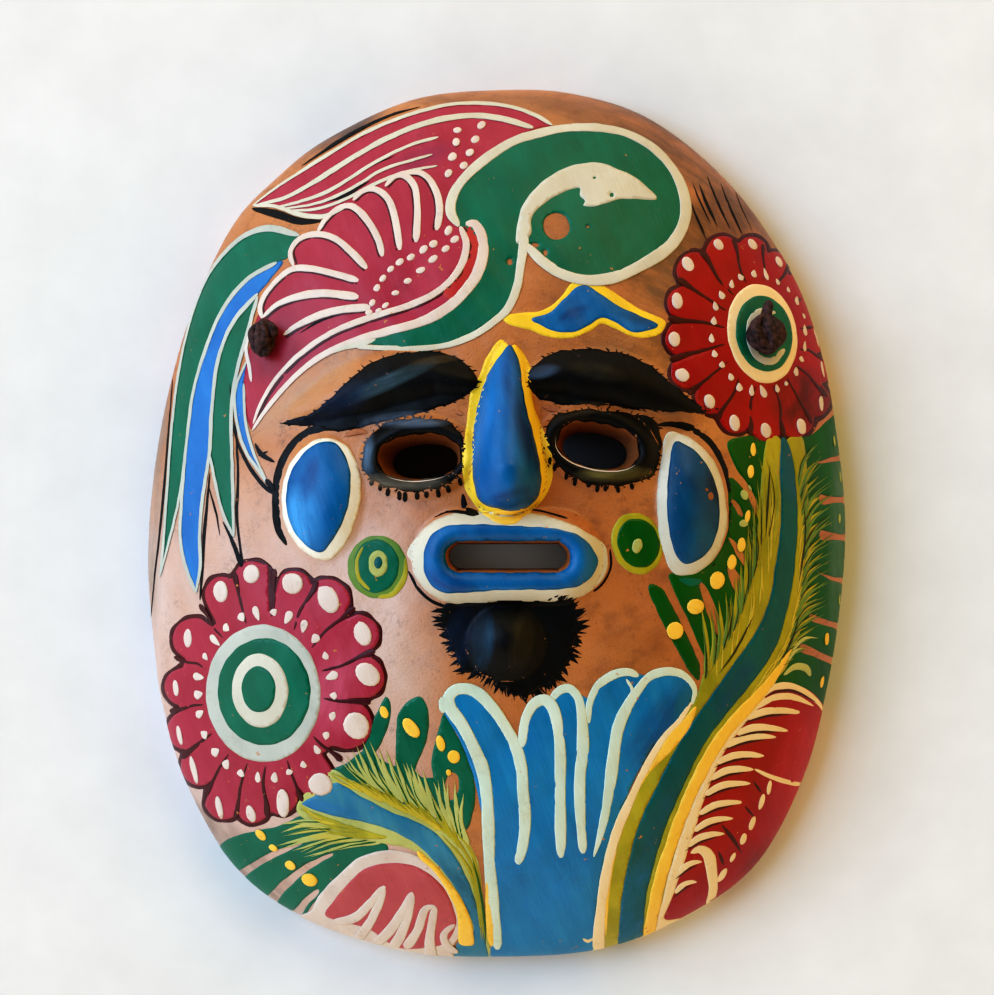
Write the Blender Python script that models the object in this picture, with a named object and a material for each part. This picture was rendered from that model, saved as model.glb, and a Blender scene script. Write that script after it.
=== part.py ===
"""Painted terracotta face mask, a hollow fired-clay shell lying face up on its back rim.

Frame: metres, +Z out of the face, +Y towards the forehead, +X towards the viewer's right.
The origin is the middle of the back rim, in the plane that the rim rests on.
"""

import math

import bmesh
import bpy
import numpy as np
from mathutils import Matrix, Vector

MM = 0.001

# --- driving sizes, in metres ------------------------------------------------------------
WALL = 0.0065            # fired clay wall
SKIRT = 0.007            # upright part of the side, between the rim and the dome
DOME = 0.037             # rise of the dome above the skirt
DOME_ROUND = 2.2         # how flat the middle of the dome is
DOME_SIDE = 0.7          # how steeply the dome meets the skirt
RIM_ROUND = 0.0012       # rounding of the back rim's two edges
VIEW_DISTANCE = 0.60     # the face is laid out flat, as it looks from this far above the rim
BLEND = 4                # how sharply two raised features run into each other
TOUCH_GAP = 0.0003       # gap left between touching pieces

SECTORS = 80             # sides of the ring mesh
INNER_RINGS = 13         # rings across the hollow back

# Outline of the mask seen from the front, in millimetres, anticlockwise from the right.
OUTLINE_MM = (
    (82.0, 0.0), (80.1, 20.0), (76.4, 40.0), (68.8, 60.0), (54.8, 80.0), (36.5, 95.0),
    (18.0, 101.2), (0.0, 102.1), (-20.0, 99.8), (-40.0, 90.6), (-52.0, 81.3),
    (-62.4, 70.0), (-71.8, 50.0), (-77.6, 30.0), (-81.0, 10.0), (-82.2, -10.0),
    (-80.6, -30.0), (-78.9, -42.0), (-73.6, -60.0), (-62.3, -80.0), (-46.2, -92.3),
    (-22.7, -100.2), (0.0, -101.9), (24.7, -100.0), (44.8, -92.0), (61.0, -80.0),
    (71.9, -60.0), (77.4, -40.0), (80.7, -20.0),
)

# The flat layout of the face, in millimetres.
NOSE_TOP = (3.0, 43.5)
NOSE_FOOT = (2.2, 1.8)
NOSE_WIDTH = 11.2
NOSE_HEIGHT = 12.5
NOSE_TIP_AT = 0.72       # share of the nose's length from its top
BACK_NOSE = (2.6, 18.0)  # hollow behind the nose
BACK_NOSE_SIZE = (10.5, 21.0)
BACK_NOSE_DEPTH = 5.5
BACK_SHARE = 0.45        # depth of the hollows behind the chin and ears, against their height

BROW_LEFT = ((-46.0, 26.5), (-36.0, 31.0), (-25.0, 34.6), (-15.0, 35.4), (-7.0, 33.5))
BROW_RIGHT = ((8.5, 34.5), (17.0, 35.6), (27.0, 34.8), (37.0, 31.0), (46.0, 27.0))
BROW_HALF_WIDTH = 6.6
BROW_HEIGHT = 3.2

EYE_LEFT = (-18.3, 15.7)
EYE_RIGHT = (23.8, 18.3)
EYE_HALF_LENGTH = 9.3
EYE_HALF_HEIGHT = 4.9
EYE_LEFT_TILT = 4.0      # degrees, anticlockwise
EYE_RIGHT_TILT = -11.0
EYE_NARROWING = 0.82     # size of the opening at the back of the wall
EYE_SHIFT = (1.2, -0.9)  # how far the back of the opening lies towards the nose and the chin
EYELID_OFFSET = 2.3      # from the edge of the opening to the crest of the lid
EYELID_HALF_WIDTH = 3.0
EYELID_HEIGHT = 2.2

MOUTH_FROM = (-8.4, -7.8)
MOUTH_TO = (13.6, -7.8)
MOUTH_HALF_HEIGHT = 2.9
LIP_CREST = 3.2          # from the edge of the slot to the crest of the lips
LIP_REACH = 8.6          # from the edge of the slot to the foot of the lips
LIP_HEIGHT = 4.6
LIP_AT_SLOT = 0.55       # share of the height left at the edge of the slot

EAR_LEFT = (-41.3, 6.2)
EAR_LEFT_SIZE = (10.2, 15.6)
EAR_RIGHT = (46.2, 4.8)
EAR_RIGHT_SIZE = (9.2, 17.4)
EAR_HEIGHT = 4.4

CHIN = (2.2, -28.0)
CHIN_SIZE = (9.5, 9.0)
CHIN_HEIGHT = 5.2

# Cord holes in the flat layout, and the lace that goes through them.
HOLE_LEFT = (-53.6, 43.2)
HOLE_RIGHT = (62.6, 44.4)
HOLE_RADIUS = 0.0026
CORD_DIAMETER = 0.003
KNOT_LEFT_SIZE = (0.0037, 0.0042, 0.0030)
KNOT_RIGHT_SIZE = (0.0056, 0.0046, 0.0035)
TAIL_RADIUS = 0.0012
TAIL_LEFT = 0.0055        # from the middle of the knot to the cut end of the lace
TAIL_RIGHT = 0.0078
TAIL_LEFT_WAY = -75.0     # degrees from +X, seen from the front
TAIL_RIGHT_WAY = 78.0
TAIL_LEAN = 80.0          # degrees from straight out of the clay


# --- small shape helpers -----------------------------------------------------------------
def smooth_loop(points, per_span=24):
    """A closed smooth curve through the points, as an array of many points."""
    corners = np.array(points, dtype=float)
    before, after = np.roll(corners, 1, axis=0), np.roll(corners, -1, axis=0)
    beyond = np.roll(corners, -2, axis=0)
    rows = []
    for t in np.linspace(0.0, 1.0, per_span, endpoint=False):
        rows.append(0.5 * (2 * corners + (after - before) * t
                           + (2 * before - 5 * corners + 4 * after - beyond) * t ** 2
                           + (3 * corners - before - 3 * after + beyond) * t ** 3))
    return np.stack(rows, axis=1).reshape(-1, corners.shape[1])


def smooth_path(points, count):
    """An open smooth curve through the points, read at evenly spaced places."""
    corners = np.array(points, dtype=float)
    ends = np.vstack([2 * corners[0] - corners[1], corners, 2 * corners[-1] - corners[-2]])
    rows = []
    for k in range(len(corners) - 1):
        a, b, c, d = ends[k:k + 4]
        for t in np.linspace(0.0, 1.0, 16, endpoint=False):
            rows.append(0.5 * (2 * b + (c - a) * t + (2 * a - 5 * b + 4 * c - d) * t ** 2
                               + (3 * b - a - 3 * c + d) * t ** 3))
    rows.append(corners[-1])
    rows = np.array(rows)
    run = np.concatenate([[0.0], np.cumsum(np.linalg.norm(np.diff(rows, axis=0), axis=1))])
    wanted = np.linspace(0.0, run[-1], count)
    return np.stack([np.interp(wanted, run, rows[:, k]) for k in range(3)], axis=1)


def hill(distance, reach):
    """1 at distance 0, falling smoothly to 0 at the reach."""
    return np.clip(1.0 - (distance / reach) ** 2, 0.0, 1.0) ** 1.2


def merged(*heights):
    """The highest of some heights, with their meeting lines rounded."""
    return sum(height ** BLEND for height in heights) ** (1.0 / BLEND)


def turned(u, v, centre, degrees):
    """The layout position measured along an axis turned by the given angle."""
    c, s = math.cos(math.radians(degrees)), math.sin(math.radians(degrees))
    du, dv = u - centre[0], v - centre[1]
    return du * c + dv * s, dv * c - du * s


# --- the outline and the dome ------------------------------------------------------------
LOOP = smooth_loop(OUTLINE_MM) * MM
LOOP_ANGLE = np.arctan2(LOOP[:, 1], LOOP[:, 0])
LOOP_RADIUS = np.hypot(LOOP[:, 0], LOOP[:, 1])


def rim_reach(x, y):
    """Distance from the middle to the outline, in the direction of each point."""
    return np.interp(np.arctan2(y, x), LOOP_ANGLE, LOOP_RADIUS, period=2 * math.pi)


def dome(x, y, inset=0.0):
    """Height of the plain shell above the rim plane, its wall inset from the outer face."""
    share = np.clip(np.hypot(x, y) / (rim_reach(x, y) - inset), 0.0, 1.0)
    return SKIRT + (DOME - inset) * (1.0 - share ** DOME_ROUND) ** DOME_SIDE


def nearness(x, y):
    """How much smaller a plan size is than the same size in the flat layout."""
    return (VIEW_DISTANCE - dome(x, y)) / (VIEW_DISTANCE - SKIRT)


def layout(x, y):
    """Flat layout position, in millimetres, of a point of the dome."""
    near = nearness(x, y)
    return x / near / MM, y / near / MM


def from_layout(u, v):
    """Plan position, in metres, of a flat layout position given in millimetres."""
    x, y = np.asarray(u, dtype=float) * MM, np.asarray(v, dtype=float) * MM
    start = x, y
    for _ in range(6):
        near = nearness(x, y)
        x, y = start[0] * near, start[1] * near
    return x, y


# --- relief of the face, in millimetres over the flat layout ------------------------------
def nose_relief(u, v):
    along = np.clip((NOSE_TOP[1] - v) / (NOSE_TOP[1] - NOSE_FOOT[1]), 0.0, 1.0)
    middle = NOSE_TOP[0] + (NOSE_FOOT[0] - NOSE_TOP[0]) * along
    half = NOSE_WIDTH * np.sqrt(along * (1.0 - along ** 8))
    rise = np.clip(along / NOSE_TIP_AT, 0.0, 1.0) ** 0.9
    fall = np.clip((along - NOSE_TIP_AT) / (1.0 - NOSE_TIP_AT), 0.0, 1.0)
    ridge = NOSE_HEIGHT * rise * np.sqrt(1.0 - fall ** 2)
    across = np.clip(np.abs(u - middle) / np.maximum(half, 0.05), 0.0, 1.0)
    return ridge * np.where(half > 0.05, (1.0 - across ** 2.4) ** 1.3, 0.0)


def ridge_relief(u, v, route, half_width, height):
    """A swelling along a route, slimmer at both of its ends."""
    route = np.array(route)
    steps = np.linalg.norm(np.diff(route, axis=0), axis=1)
    runs = np.concatenate([[0.0], np.cumsum(steps)]) / steps.sum()
    best = np.full(np.shape(u), np.inf)
    place = np.zeros(np.shape(u))
    for k in range(len(route) - 1):
        (a, b), (c, d) = route[k], route[k + 1]
        t = np.clip(((u - a) * (c - a) + (v - b) * (d - b)) / steps[k] ** 2, 0.0, 1.0)
        distance = np.hypot(u - a - t * (c - a), v - b - t * (d - b))
        nearer = distance < best
        best = np.where(nearer, distance, best)
        place = np.where(nearer, runs[k] + t * (runs[k + 1] - runs[k]), place)
    slim = 0.45 + 0.55 * np.sin(math.pi * place)
    return height * slim * hill(best, half_width * slim)


def eyelid_relief(u, v, centre, tilt):
    p, q = turned(u, v, centre, tilt)
    size = np.maximum(np.hypot(p / EYE_HALF_LENGTH, q / EYE_HALF_HEIGHT), 0.01)
    outside = np.hypot(p, q) * (1.0 - 1.0 / size)
    return EYELID_HEIGHT * hill(outside - EYELID_OFFSET, EYELID_HALF_WIDTH)


def lip_relief(u, v):
    nearest = np.clip(u, MOUTH_FROM[0], MOUTH_TO[0])
    outside = np.hypot(u - nearest, v - MOUTH_FROM[1]) - MOUTH_HALF_HEIGHT
    rolled_in = LIP_AT_SLOT + (1.0 - LIP_AT_SLOT) * hill(outside - LIP_CREST, LIP_CREST)
    falling = hill(outside - LIP_CREST, LIP_REACH - LIP_CREST)
    return LIP_HEIGHT * np.where(outside < LIP_CREST, rolled_in, falling)


def oval_relief(u, v, centre, size, height):
    return height * hill(np.hypot((u - centre[0]) / size[0], (v - centre[1]) / size[1]), 1.0)


def face_relief(u, v):
    """Raised features of the front, in metres above the dome."""
    return MM * merged(
        ridge_relief(u, v, BROW_LEFT, BROW_HALF_WIDTH, BROW_HEIGHT),
        ridge_relief(u, v, BROW_RIGHT, BROW_HALF_WIDTH, BROW_HEIGHT),
        eyelid_relief(u, v, EYE_LEFT, EYE_LEFT_TILT),
        eyelid_relief(u, v, EYE_RIGHT, EYE_RIGHT_TILT),
        oval_relief(u, v, EAR_LEFT, EAR_LEFT_SIZE, EAR_HEIGHT),
        oval_relief(u, v, EAR_RIGHT, EAR_RIGHT_SIZE, EAR_HEIGHT),
        oval_relief(u, v, CHIN, CHIN_SIZE, CHIN_HEIGHT),
        lip_relief(u, v),
        nose_relief(u, v))


def back_relief(u, v):
    """Softer hollows pressed into the back behind the nose, chin and ears."""
    return MM * merged(
        oval_relief(u, v, BACK_NOSE, BACK_NOSE_SIZE, BACK_NOSE_DEPTH),
        oval_relief(u, v, CHIN, CHIN_SIZE, BACK_SHARE * CHIN_HEIGHT),
        oval_relief(u, v, EAR_LEFT, EAR_LEFT_SIZE, BACK_SHARE * EAR_HEIGHT),
        oval_relief(u, v, EAR_RIGHT, EAR_RIGHT_SIZE, BACK_SHARE * EAR_HEIGHT))


def front_height(x, y):
    return dome(x, y) + face_relief(*layout(x, y))


def back_height(x, y):
    return dome(x, y, inset=WALL) + back_relief(*layout(x, y))


def front_frame(u, v):
    """The point of the plain front at a layout position, and the direction out of it."""
    x, y = (float(value) for value in from_layout(u, v))
    step = 0.0005
    slope_x = (front_height(x + step, y) - front_height(x - step, y)) / (2 * step)
    slope_y = (front_height(x, y + step) - front_height(x, y - step)) / (2 * step)
    outward = Vector((-slope_x, -slope_y, 1.0)).normalized()
    return Vector((x, y, float(front_height(x, y)))), outward


# --- building blocks ---------------------------------------------------------------------
def add_object(name, mesh):
    piece = bpy.data.objects.new(name, mesh)
    bpy.context.scene.collection.objects.link(piece)
    return piece


def mesh_from(name, points, faces):
    mesh = bpy.data.meshes.new(name)
    mesh.from_pydata([tuple(p) for p in points], [], faces)
    form = bmesh.new()
    form.from_mesh(mesh)
    bmesh.ops.recalc_face_normals(form, faces=form.faces)
    form.to_mesh(mesh)
    form.free()
    return mesh


def closed_rings(rings, start, finish):
    """Points and faces of a closed body made of equal rings between two pole points."""
    sides = len(rings[0])
    points = [start] + [p for ring in rings for p in ring] + [finish]
    last = len(points) - 1
    faces = [(0, 1 + k, 1 + (k + 1) % sides) for k in range(sides)]
    for j in range(len(rings) - 1):
        near, far = 1 + j * sides, 1 + (j + 1) * sides
        faces += [(near + k, far + k, far + (k + 1) % sides, near + (k + 1) % sides)
                  for k in range(sides)]
    base = 1 + (len(rings) - 1) * sides
    faces += [(base + k, last, base + (k + 1) % sides) for k in range(sides)]
    return points, faces


def smooth(mesh, degrees=35.0):
    mesh.shade_smooth()
    mesh.set_sharp_from_angle(angle=math.radians(degrees))


def finish(piece, colour, roughness, metallic=0.0):
    material = bpy.data.materials.new(piece.name)
    material.use_nodes = True
    shader = material.node_tree.nodes["Principled BSDF"]
    shader.inputs["Base Color"].default_value = (*colour, 1.0)
    shader.inputs["Roughness"].default_value = roughness
    shader.inputs["Metallic"].default_value = metallic
    material.diffuse_color = (*colour, 1.0)
    piece.data.materials.clear()
    piece.data.materials.append(material)


def cut(piece, cutter):
    cutter.hide_render = True
    cutter.display_type = 'WIRE'
    hole = piece.modifiers.new(cutter.name, 'BOOLEAN')
    hole.operation = 'DIFFERENCE'
    hole.solver = 'EXACT'
    hole.object = cutter


# --- the clay shell ----------------------------------------------------------------------
def shell_rings():
    angles = np.arange(SECTORS) * 2 * math.pi / SECTORS
    ways = np.cos(angles), np.sin(angles)
    reach = rim_reach(*ways)

    def ring(radius, height):
        x, y = ways[0] * radius, ways[1] * radius
        z = height(x, y) if callable(height) else np.full(SECTORS, height)
        return list(zip(x, y, z))

    face_shares = np.linspace(0.0, 0.56, 21)[1:]       # close rings under the features
    side_shares = (0.62, 0.68, 0.74, 0.80, 0.86, 0.91, 0.95, 0.98)
    rings = [ring(share * reach, front_height) for share in (*face_shares, *side_shares)]
    rings.append(ring(reach, SKIRT))
    rings.append(ring(reach - 0.4 * RIM_ROUND, 0.4 * SKIRT))
    rings.append(ring(reach - RIM_ROUND, 0.6 * RIM_ROUND))
    rings.append(ring(reach - 2 * RIM_ROUND, 0.0))
    rings.append(ring(reach - WALL + RIM_ROUND, 0.0))
    rings.append(ring(reach - WALL, RIM_ROUND))
    rings.append(ring(reach - WALL, SKIRT))
    inner_shares = 1.0 - np.linspace(0.0, 1.0, INNER_RINGS + 1)[1:-1] ** 1.4
    rings += [ring(share * (reach - WALL), back_height) for share in inner_shares]
    top = (0.0, 0.0, float(front_height(0.0, 1e-6)))
    hollow = (0.0, 0.0, float(back_height(0.0, 1e-6)))
    return rings, top, hollow


def opening_cutter(name, front_loop, back_loop, shift, face_height, wall_height):
    """A cutter with one outline in front of the wall and a smaller one behind it."""
    above, below = face_height + 0.02, wall_height - 0.03
    moved = [(x + shift[0], y + shift[1]) for x, y in back_loop]
    levels = ((front_loop, above), (front_loop, face_height), (moved, wall_height), (moved, below))
    rings = [[(x, y, z) for x, y in loop] for loop, z in levels]
    middle = np.mean(front_loop, axis=0)
    end = np.mean(moved, axis=0)
    points, faces = closed_rings(rings, (*middle, above), (*end, below))
    return add_object(name, mesh_from(name, points, faces))


def eye_loop(centre, tilt, share, sides=28):
    """Rounded-slot outline of an eye opening, in plan."""
    loop = []
    c, s = math.cos(math.radians(tilt)), math.sin(math.radians(tilt))
    for k in range(sides):
        a = 2 * math.pi * k / sides
        p = EYE_HALF_LENGTH * share * math.copysign(abs(math.cos(a)) ** 0.9, math.cos(a))
        q = EYE_HALF_HEIGHT * share * math.copysign(abs(math.sin(a)) ** 0.85, math.sin(a))
        x, y = from_layout(centre[0] + p * c - q * s, centre[1] + p * s + q * c)
        loop.append((float(x), float(y)))
    return loop


def cut_eye(shell, name, centre, tilt, shift):
    spot, _ = front_frame(centre[0], centre[1] + EYE_HALF_HEIGHT + EYELID_OFFSET)
    plain = spot.z - EYELID_HEIGHT * MM
    front, back = eye_loop(centre, tilt, 1.0), eye_loop(centre, tilt, EYE_NARROWING)
    cut(shell, opening_cutter(name, front, back, shift, plain, plain - WALL))


def mouth_loop(sides=14):
    loop = []
    for centre, start in ((MOUTH_TO, -90.0), (MOUTH_FROM, 90.0)):
        for k in range(sides + 1):
            a = math.radians(start + 180.0 * k / sides)
            x, y = from_layout(centre[0] + MOUTH_HALF_HEIGHT * math.cos(a),
                               centre[1] + MOUTH_HALF_HEIGHT * math.sin(a))
            loop.append((float(x), float(y)))
    return loop


def cut_cord_hole(shell, name, place):
    spot, outward = front_frame(*place)
    form = bmesh.new()
    bmesh.ops.create_cone(form, cap_ends=True, segments=16, radius1=HOLE_RADIUS,
                          radius2=HOLE_RADIUS, depth=4 * WALL)
    mesh = bpy.data.meshes.new(name)
    form.to_mesh(mesh)
    form.free()
    turn = outward.to_track_quat('Z', 'Y').to_matrix().to_4x4()
    mesh.transform(Matrix.Translation(spot) @ turn)
    cut(shell, add_object(name, mesh))


def make_shell():
    points, faces = closed_rings(*shell_rings())
    shell = add_object("mask_shell", mesh_from("mask_shell", points, faces))
    towards_nose, towards_chin = EYE_SHIFT[0] * MM, EYE_SHIFT[1] * MM
    cut_eye(shell, "left_eye_cutter", EYE_LEFT, EYE_LEFT_TILT, (towards_nose, towards_chin))
    cut_eye(shell, "right_eye_cutter", EYE_RIGHT, EYE_RIGHT_TILT, (-0.4 * towards_nose, towards_chin))
    slot = mouth_loop()
    mouth_top = float(dome(0.0, MOUTH_FROM[1] * MM))
    cut(shell, opening_cutter("mouth_cutter", slot, slot, (0.0, 0.0), mouth_top, mouth_top - WALL))
    cut_cord_hole(shell, "left_hole_cutter", HOLE_LEFT)
    cut_cord_hole(shell, "right_hole_cutter", HOLE_RIGHT)
    smooth(shell.data)
    finish(shell, (0.42, 0.20, 0.10), 0.5)


# --- the knotted lace --------------------------------------------------------------------
# Middle line of the lace, in millimetres: from the left hole's mouth through the wall, down
# to the surface that the rim stands on, along it in a loose bow, and up to the right hole.
CORD_ROUTE_MM = (
    (-51.6, 41.6, 29.1), (-49.7, 40.8, 25.6), (-47.9, 40.0, 22.2), (-46.3, 39.6, 18.4),
    (-45.0, 40.2, 14.0), (-43.8, 42.3, 9.2), (-42.4, 45.9, 5.0), (-40.4, 51.0, 2.4),
    (-37.2, 57.8, 1.6), (-32.0, 65.4, 1.55), (-25.0, 72.2, 1.55), (-15.5, 77.4, 1.55),
    (-4.5, 80.0, 1.55), (7.0, 80.2, 1.55), (18.5, 77.8, 1.55), (28.8, 72.8, 1.55),
    (37.4, 65.4, 1.55), (43.8, 57.2, 1.6), (47.9, 50.5, 2.4), (50.6, 45.3, 4.8),
    (52.5, 42.3, 8.6), (54.0, 41.0, 12.8), (56.4, 41.4, 17.4), (58.6, 42.3, 20.6),
    (60.8, 43.1, 23.8),
)
CORD_POINTS = 38


def knot_points(size, lobes):
    """A lumpy knot on a flat foot, with its foot at the origin and its top along +Z."""
    sides, levels = 16, 9
    rings = []
    for j in range(1, levels):
        polar = math.pi * j / levels
        ring = []
        for k in range(sides):
            a = 2 * math.pi * k / sides
            lump = 1.0 + 0.10 * math.sin(lobes * a + 1.3 * j)
            x = size[0] * math.sin(polar) * math.cos(a) * lump
            y = size[1] * math.sin(polar) * math.sin(a) * lump
            ring.append((x, y, size[2] * (1.0 + math.cos(polar))))
        rings.append(ring)
    return closed_rings(rings, (0.0, 0.0, 2 * size[2]), (0.0, 0.0, 0.0))


def on_face(mesh, place, lift):
    """Stand a mesh on the front, its +Z straight out of the clay and +Y towards the forehead."""
    spot, outward = front_frame(*place)
    up = (Vector((0.0, 1.0, 0.0)) - outward * outward.y).normalized()
    across = up.cross(outward)
    turn = Matrix((across, up, outward)).transposed().to_4x4()
    mesh.transform(Matrix.Translation(spot + outward * lift) @ turn)


def make_knot(name, place, size, lobes, tail_length, tail_way):
    """A knot of the lace on the front, with the cut end of the lace standing out of it."""
    knot = add_object(name, mesh_from(name, *knot_points(size, lobes)))
    on_face(knot.data, place, TOUCH_GAP)
    form = bmesh.new()
    bmesh.ops.create_cone(form, cap_ends=True, segments=10, radius1=TAIL_RADIUS,
                          radius2=TAIL_RADIUS, depth=tail_length)
    tail = bpy.data.meshes.new(name + "_tail")
    form.to_mesh(tail)
    form.free()
    way = Matrix.Rotation(math.radians(tail_way), 4, 'Z')
    lean = Matrix.Rotation(math.radians(TAIL_LEAN), 4, 'Y')
    from_middle = Matrix.Translation((0.0, 0.0, 0.5 * tail_length))
    tail.transform(Matrix.Translation((0.0, 0.0, size[2])) @ way @ lean @ from_middle)
    on_face(tail, place, TOUCH_GAP)
    end = add_object(name + "_tail", tail)
    end.hide_render = True
    end.display_type = 'WIRE'
    join = knot.modifiers.new("tail", 'BOOLEAN')
    join.operation = 'UNION'
    join.solver = 'EXACT'
    join.object = end
    smooth(knot.data, 60.0)
    finish(knot, (0.035, 0.018, 0.012), 0.7)


def make_cord():
    """The slack lace behind the face, a tube of its full thickness."""
    curve = bpy.data.curves.new("hanging_cord", 'CURVE')
    curve.dimensions = '3D'
    line = curve.splines.new('POLY')
    points = smooth_path(CORD_ROUTE_MM, CORD_POINTS) * MM
    line.points.add(len(points) - 1)
    for place, point in zip(line.points, points):
        place.co = (*point, 1.0)
    curve.bevel_depth = 0.5 * CORD_DIAMETER
    curve.bevel_resolution = 2
    curve.use_fill_caps = True
    finish(add_object("hanging_cord", curve), (0.045, 0.024, 0.016), 0.75)


def main():
    for old in list(bpy.data.objects):
        bpy.data.objects.remove(old, do_unlink=True)
    make_shell()
    make_knot("knot_left", HOLE_LEFT, KNOT_LEFT_SIZE, 3, TAIL_LEFT, TAIL_LEFT_WAY)
    make_knot("knot_right", HOLE_RIGHT, KNOT_RIGHT_SIZE, 4, TAIL_RIGHT, TAIL_RIGHT_WAY)
    make_cord()


main()
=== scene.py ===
# %% [markdown]
# # A painted clay mask
# The real piece is a hollow face of red clay. It was pressed in a mould, fired, painted by hand
# with thick brush paint in flat bright colours, and varnished. A knotted leather lace goes
# through two holes at the temples. This script dresses the CAD model of that mask: it makes the
# clay with its hand-worked surface, every stroke of paint as a thin body of its own, the lace,
# and the finishes.

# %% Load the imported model
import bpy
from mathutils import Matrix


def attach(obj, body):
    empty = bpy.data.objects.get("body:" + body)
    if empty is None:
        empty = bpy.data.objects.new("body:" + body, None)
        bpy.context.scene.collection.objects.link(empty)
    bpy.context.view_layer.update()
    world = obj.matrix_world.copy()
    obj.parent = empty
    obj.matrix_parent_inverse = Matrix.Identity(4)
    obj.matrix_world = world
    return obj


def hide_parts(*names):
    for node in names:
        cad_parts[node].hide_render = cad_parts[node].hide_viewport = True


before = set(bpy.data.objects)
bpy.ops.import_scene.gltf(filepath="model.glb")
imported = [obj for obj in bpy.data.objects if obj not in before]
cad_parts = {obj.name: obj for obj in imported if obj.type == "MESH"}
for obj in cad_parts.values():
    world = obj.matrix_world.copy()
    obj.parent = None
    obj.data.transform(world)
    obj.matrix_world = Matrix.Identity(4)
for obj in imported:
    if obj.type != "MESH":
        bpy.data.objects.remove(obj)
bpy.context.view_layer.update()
print("CAD nodes:", ", ".join(sorted(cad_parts)))

# %% What the script uses
import math

import bmesh
import bpy
import numpy as np
from mathutils import Vector
from mathutils.geometry import delaunay_2d_cdt
from mathutils.kdtree import KDTree

MM = 0.001
SEED = 7
scene = bpy.context.scene

# %% [markdown]
# ## Camera
# The mask lies on its back rim and the camera looks straight down on it from an arm's length.
# A short distance matters: the dome's middle is nearer to the lens, so it looks a little larger.

# %% Camera
VIEW_DISTANCE = 0.60      # from the lens to the plane that the rim lies on
SKIRT = 0.007             # upright part of the side, between the rim and the dome
PICTURE_WIDTH = 0.2344    # what the picture takes in, at the height of the skirt's top
SENSOR = 36.0

lens = bpy.data.cameras.new("camera")
lens.sensor_width = SENSOR
lens.lens = SENSOR * (VIEW_DISTANCE - SKIRT) / PICTURE_WIDTH
lens.shift_y = 0.0262     # the mask sits a little below the middle of the picture
camera = bpy.data.objects.new("camera", lens)
camera.location = (0.0, 0.0, VIEW_DISTANCE)
scene.collection.objects.link(camera)
scene.camera = camera
print("camera: lens", round(lens.lens, 1), "mm")

# %% [markdown]
# ## The lace's route
# The lace is one length of round leather. It comes out of the back of the left hole, drops to
# the table inside the hollow, lies there in a loose bow and climbs to the right hole. The route
# is the CAD route, point for point, because the CAD solid lies on it.

# %% Lace route, in millimetres
CORD_ROUTE_MM = (
    (-51.6, 41.6, 29.1), (-49.7, 40.8, 25.6), (-47.9, 40.0, 22.2), (-46.3, 39.6, 18.4),
    (-45.0, 40.2, 14.0), (-43.8, 42.3, 9.2), (-42.4, 45.9, 5.0), (-40.4, 51.0, 2.4),
    (-37.2, 57.8, 1.6), (-32.0, 65.4, 1.55), (-25.0, 72.2, 1.55), (-15.5, 77.4, 1.55),
    (-4.5, 80.0, 1.55), (7.0, 80.2, 1.55), (18.5, 77.8, 1.55), (28.8, 72.8, 1.55),
    (37.4, 65.4, 1.55), (43.8, 57.2, 1.6), (47.9, 50.5, 2.4), (50.6, 45.3, 4.8),
    (52.5, 42.3, 8.6), (54.0, 41.0, 12.8), (56.4, 41.4, 17.4), (58.6, 42.3, 20.6),
    (60.8, 43.1, 23.8),
)
CORD_DIAMETER = 0.003
CORD_STEP_MM = 0.6        # between the points of its smooth route


def smooth_points(points, spacing, closed=False):
    """Evenly spaced points of a smooth curve through the given ones, of any dimension."""
    corners = np.array(points, dtype=float)
    if closed:
        ends = np.vstack([corners[-1], corners, corners[:2]])
    else:
        ends = np.vstack([2 * corners[0] - corners[1], corners, 2 * corners[-1] - corners[-2]])
    t = np.linspace(0.0, 1.0, 12, endpoint=False)[:, None]
    rows = []
    for a, b, c, d in zip(ends[:-3], ends[1:-2], ends[2:-1], ends[3:]):
        rows.append(0.5 * (2 * b + (c - a) * t + (2 * a - 5 * b + 4 * c - d) * t ** 2
                           + (3 * b - a - 3 * c + d) * t ** 3))
    rows.append(ends[-2][None])
    rows = np.vstack(rows)
    run = np.concatenate([[0.0], np.cumsum(np.linalg.norm(np.diff(rows, axis=0), axis=1))])
    count = max(int(round(run[-1] / spacing)) + 1, 3)
    wanted = np.linspace(0.0, run[-1], count)
    wanted = wanted[:-1] if closed else wanted
    return np.stack([np.interp(wanted, run, rows[:, k]) for k in range(rows.shape[1])], axis=1)


lace_route = smooth_points(CORD_ROUTE_MM, CORD_STEP_MM) * MM
print("lace:", round(float(np.linalg.norm(np.diff(lace_route, axis=0), axis=1).sum()), 4), "m")

# %% [markdown]
# ## The form
# The clay is a dome on a short upright skirt, and the face is a relief laid over it. Each
# feature is a height formula with a few sizes, the same ones that the CAD shell was made from.
# Positions on the face, `(u, v)` in millimetres, are the flat layout: the mask seen from the
# camera's place, measured in the plane of the skirt's top, with u to the right and v up.

# %% Sizes of the form
WALL = 0.0065             # fired clay wall
DOME = 0.037              # rise of the dome above the skirt
DOME_ROUND = 2.2          # how flat the middle of the dome is
DOME_SIDE = 0.7           # how steeply the dome meets the skirt
RIM_ROUND = 0.0012        # rounding of the back rim's two edges
BLEND = 4                 # how sharply two raised features run into each other

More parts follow.
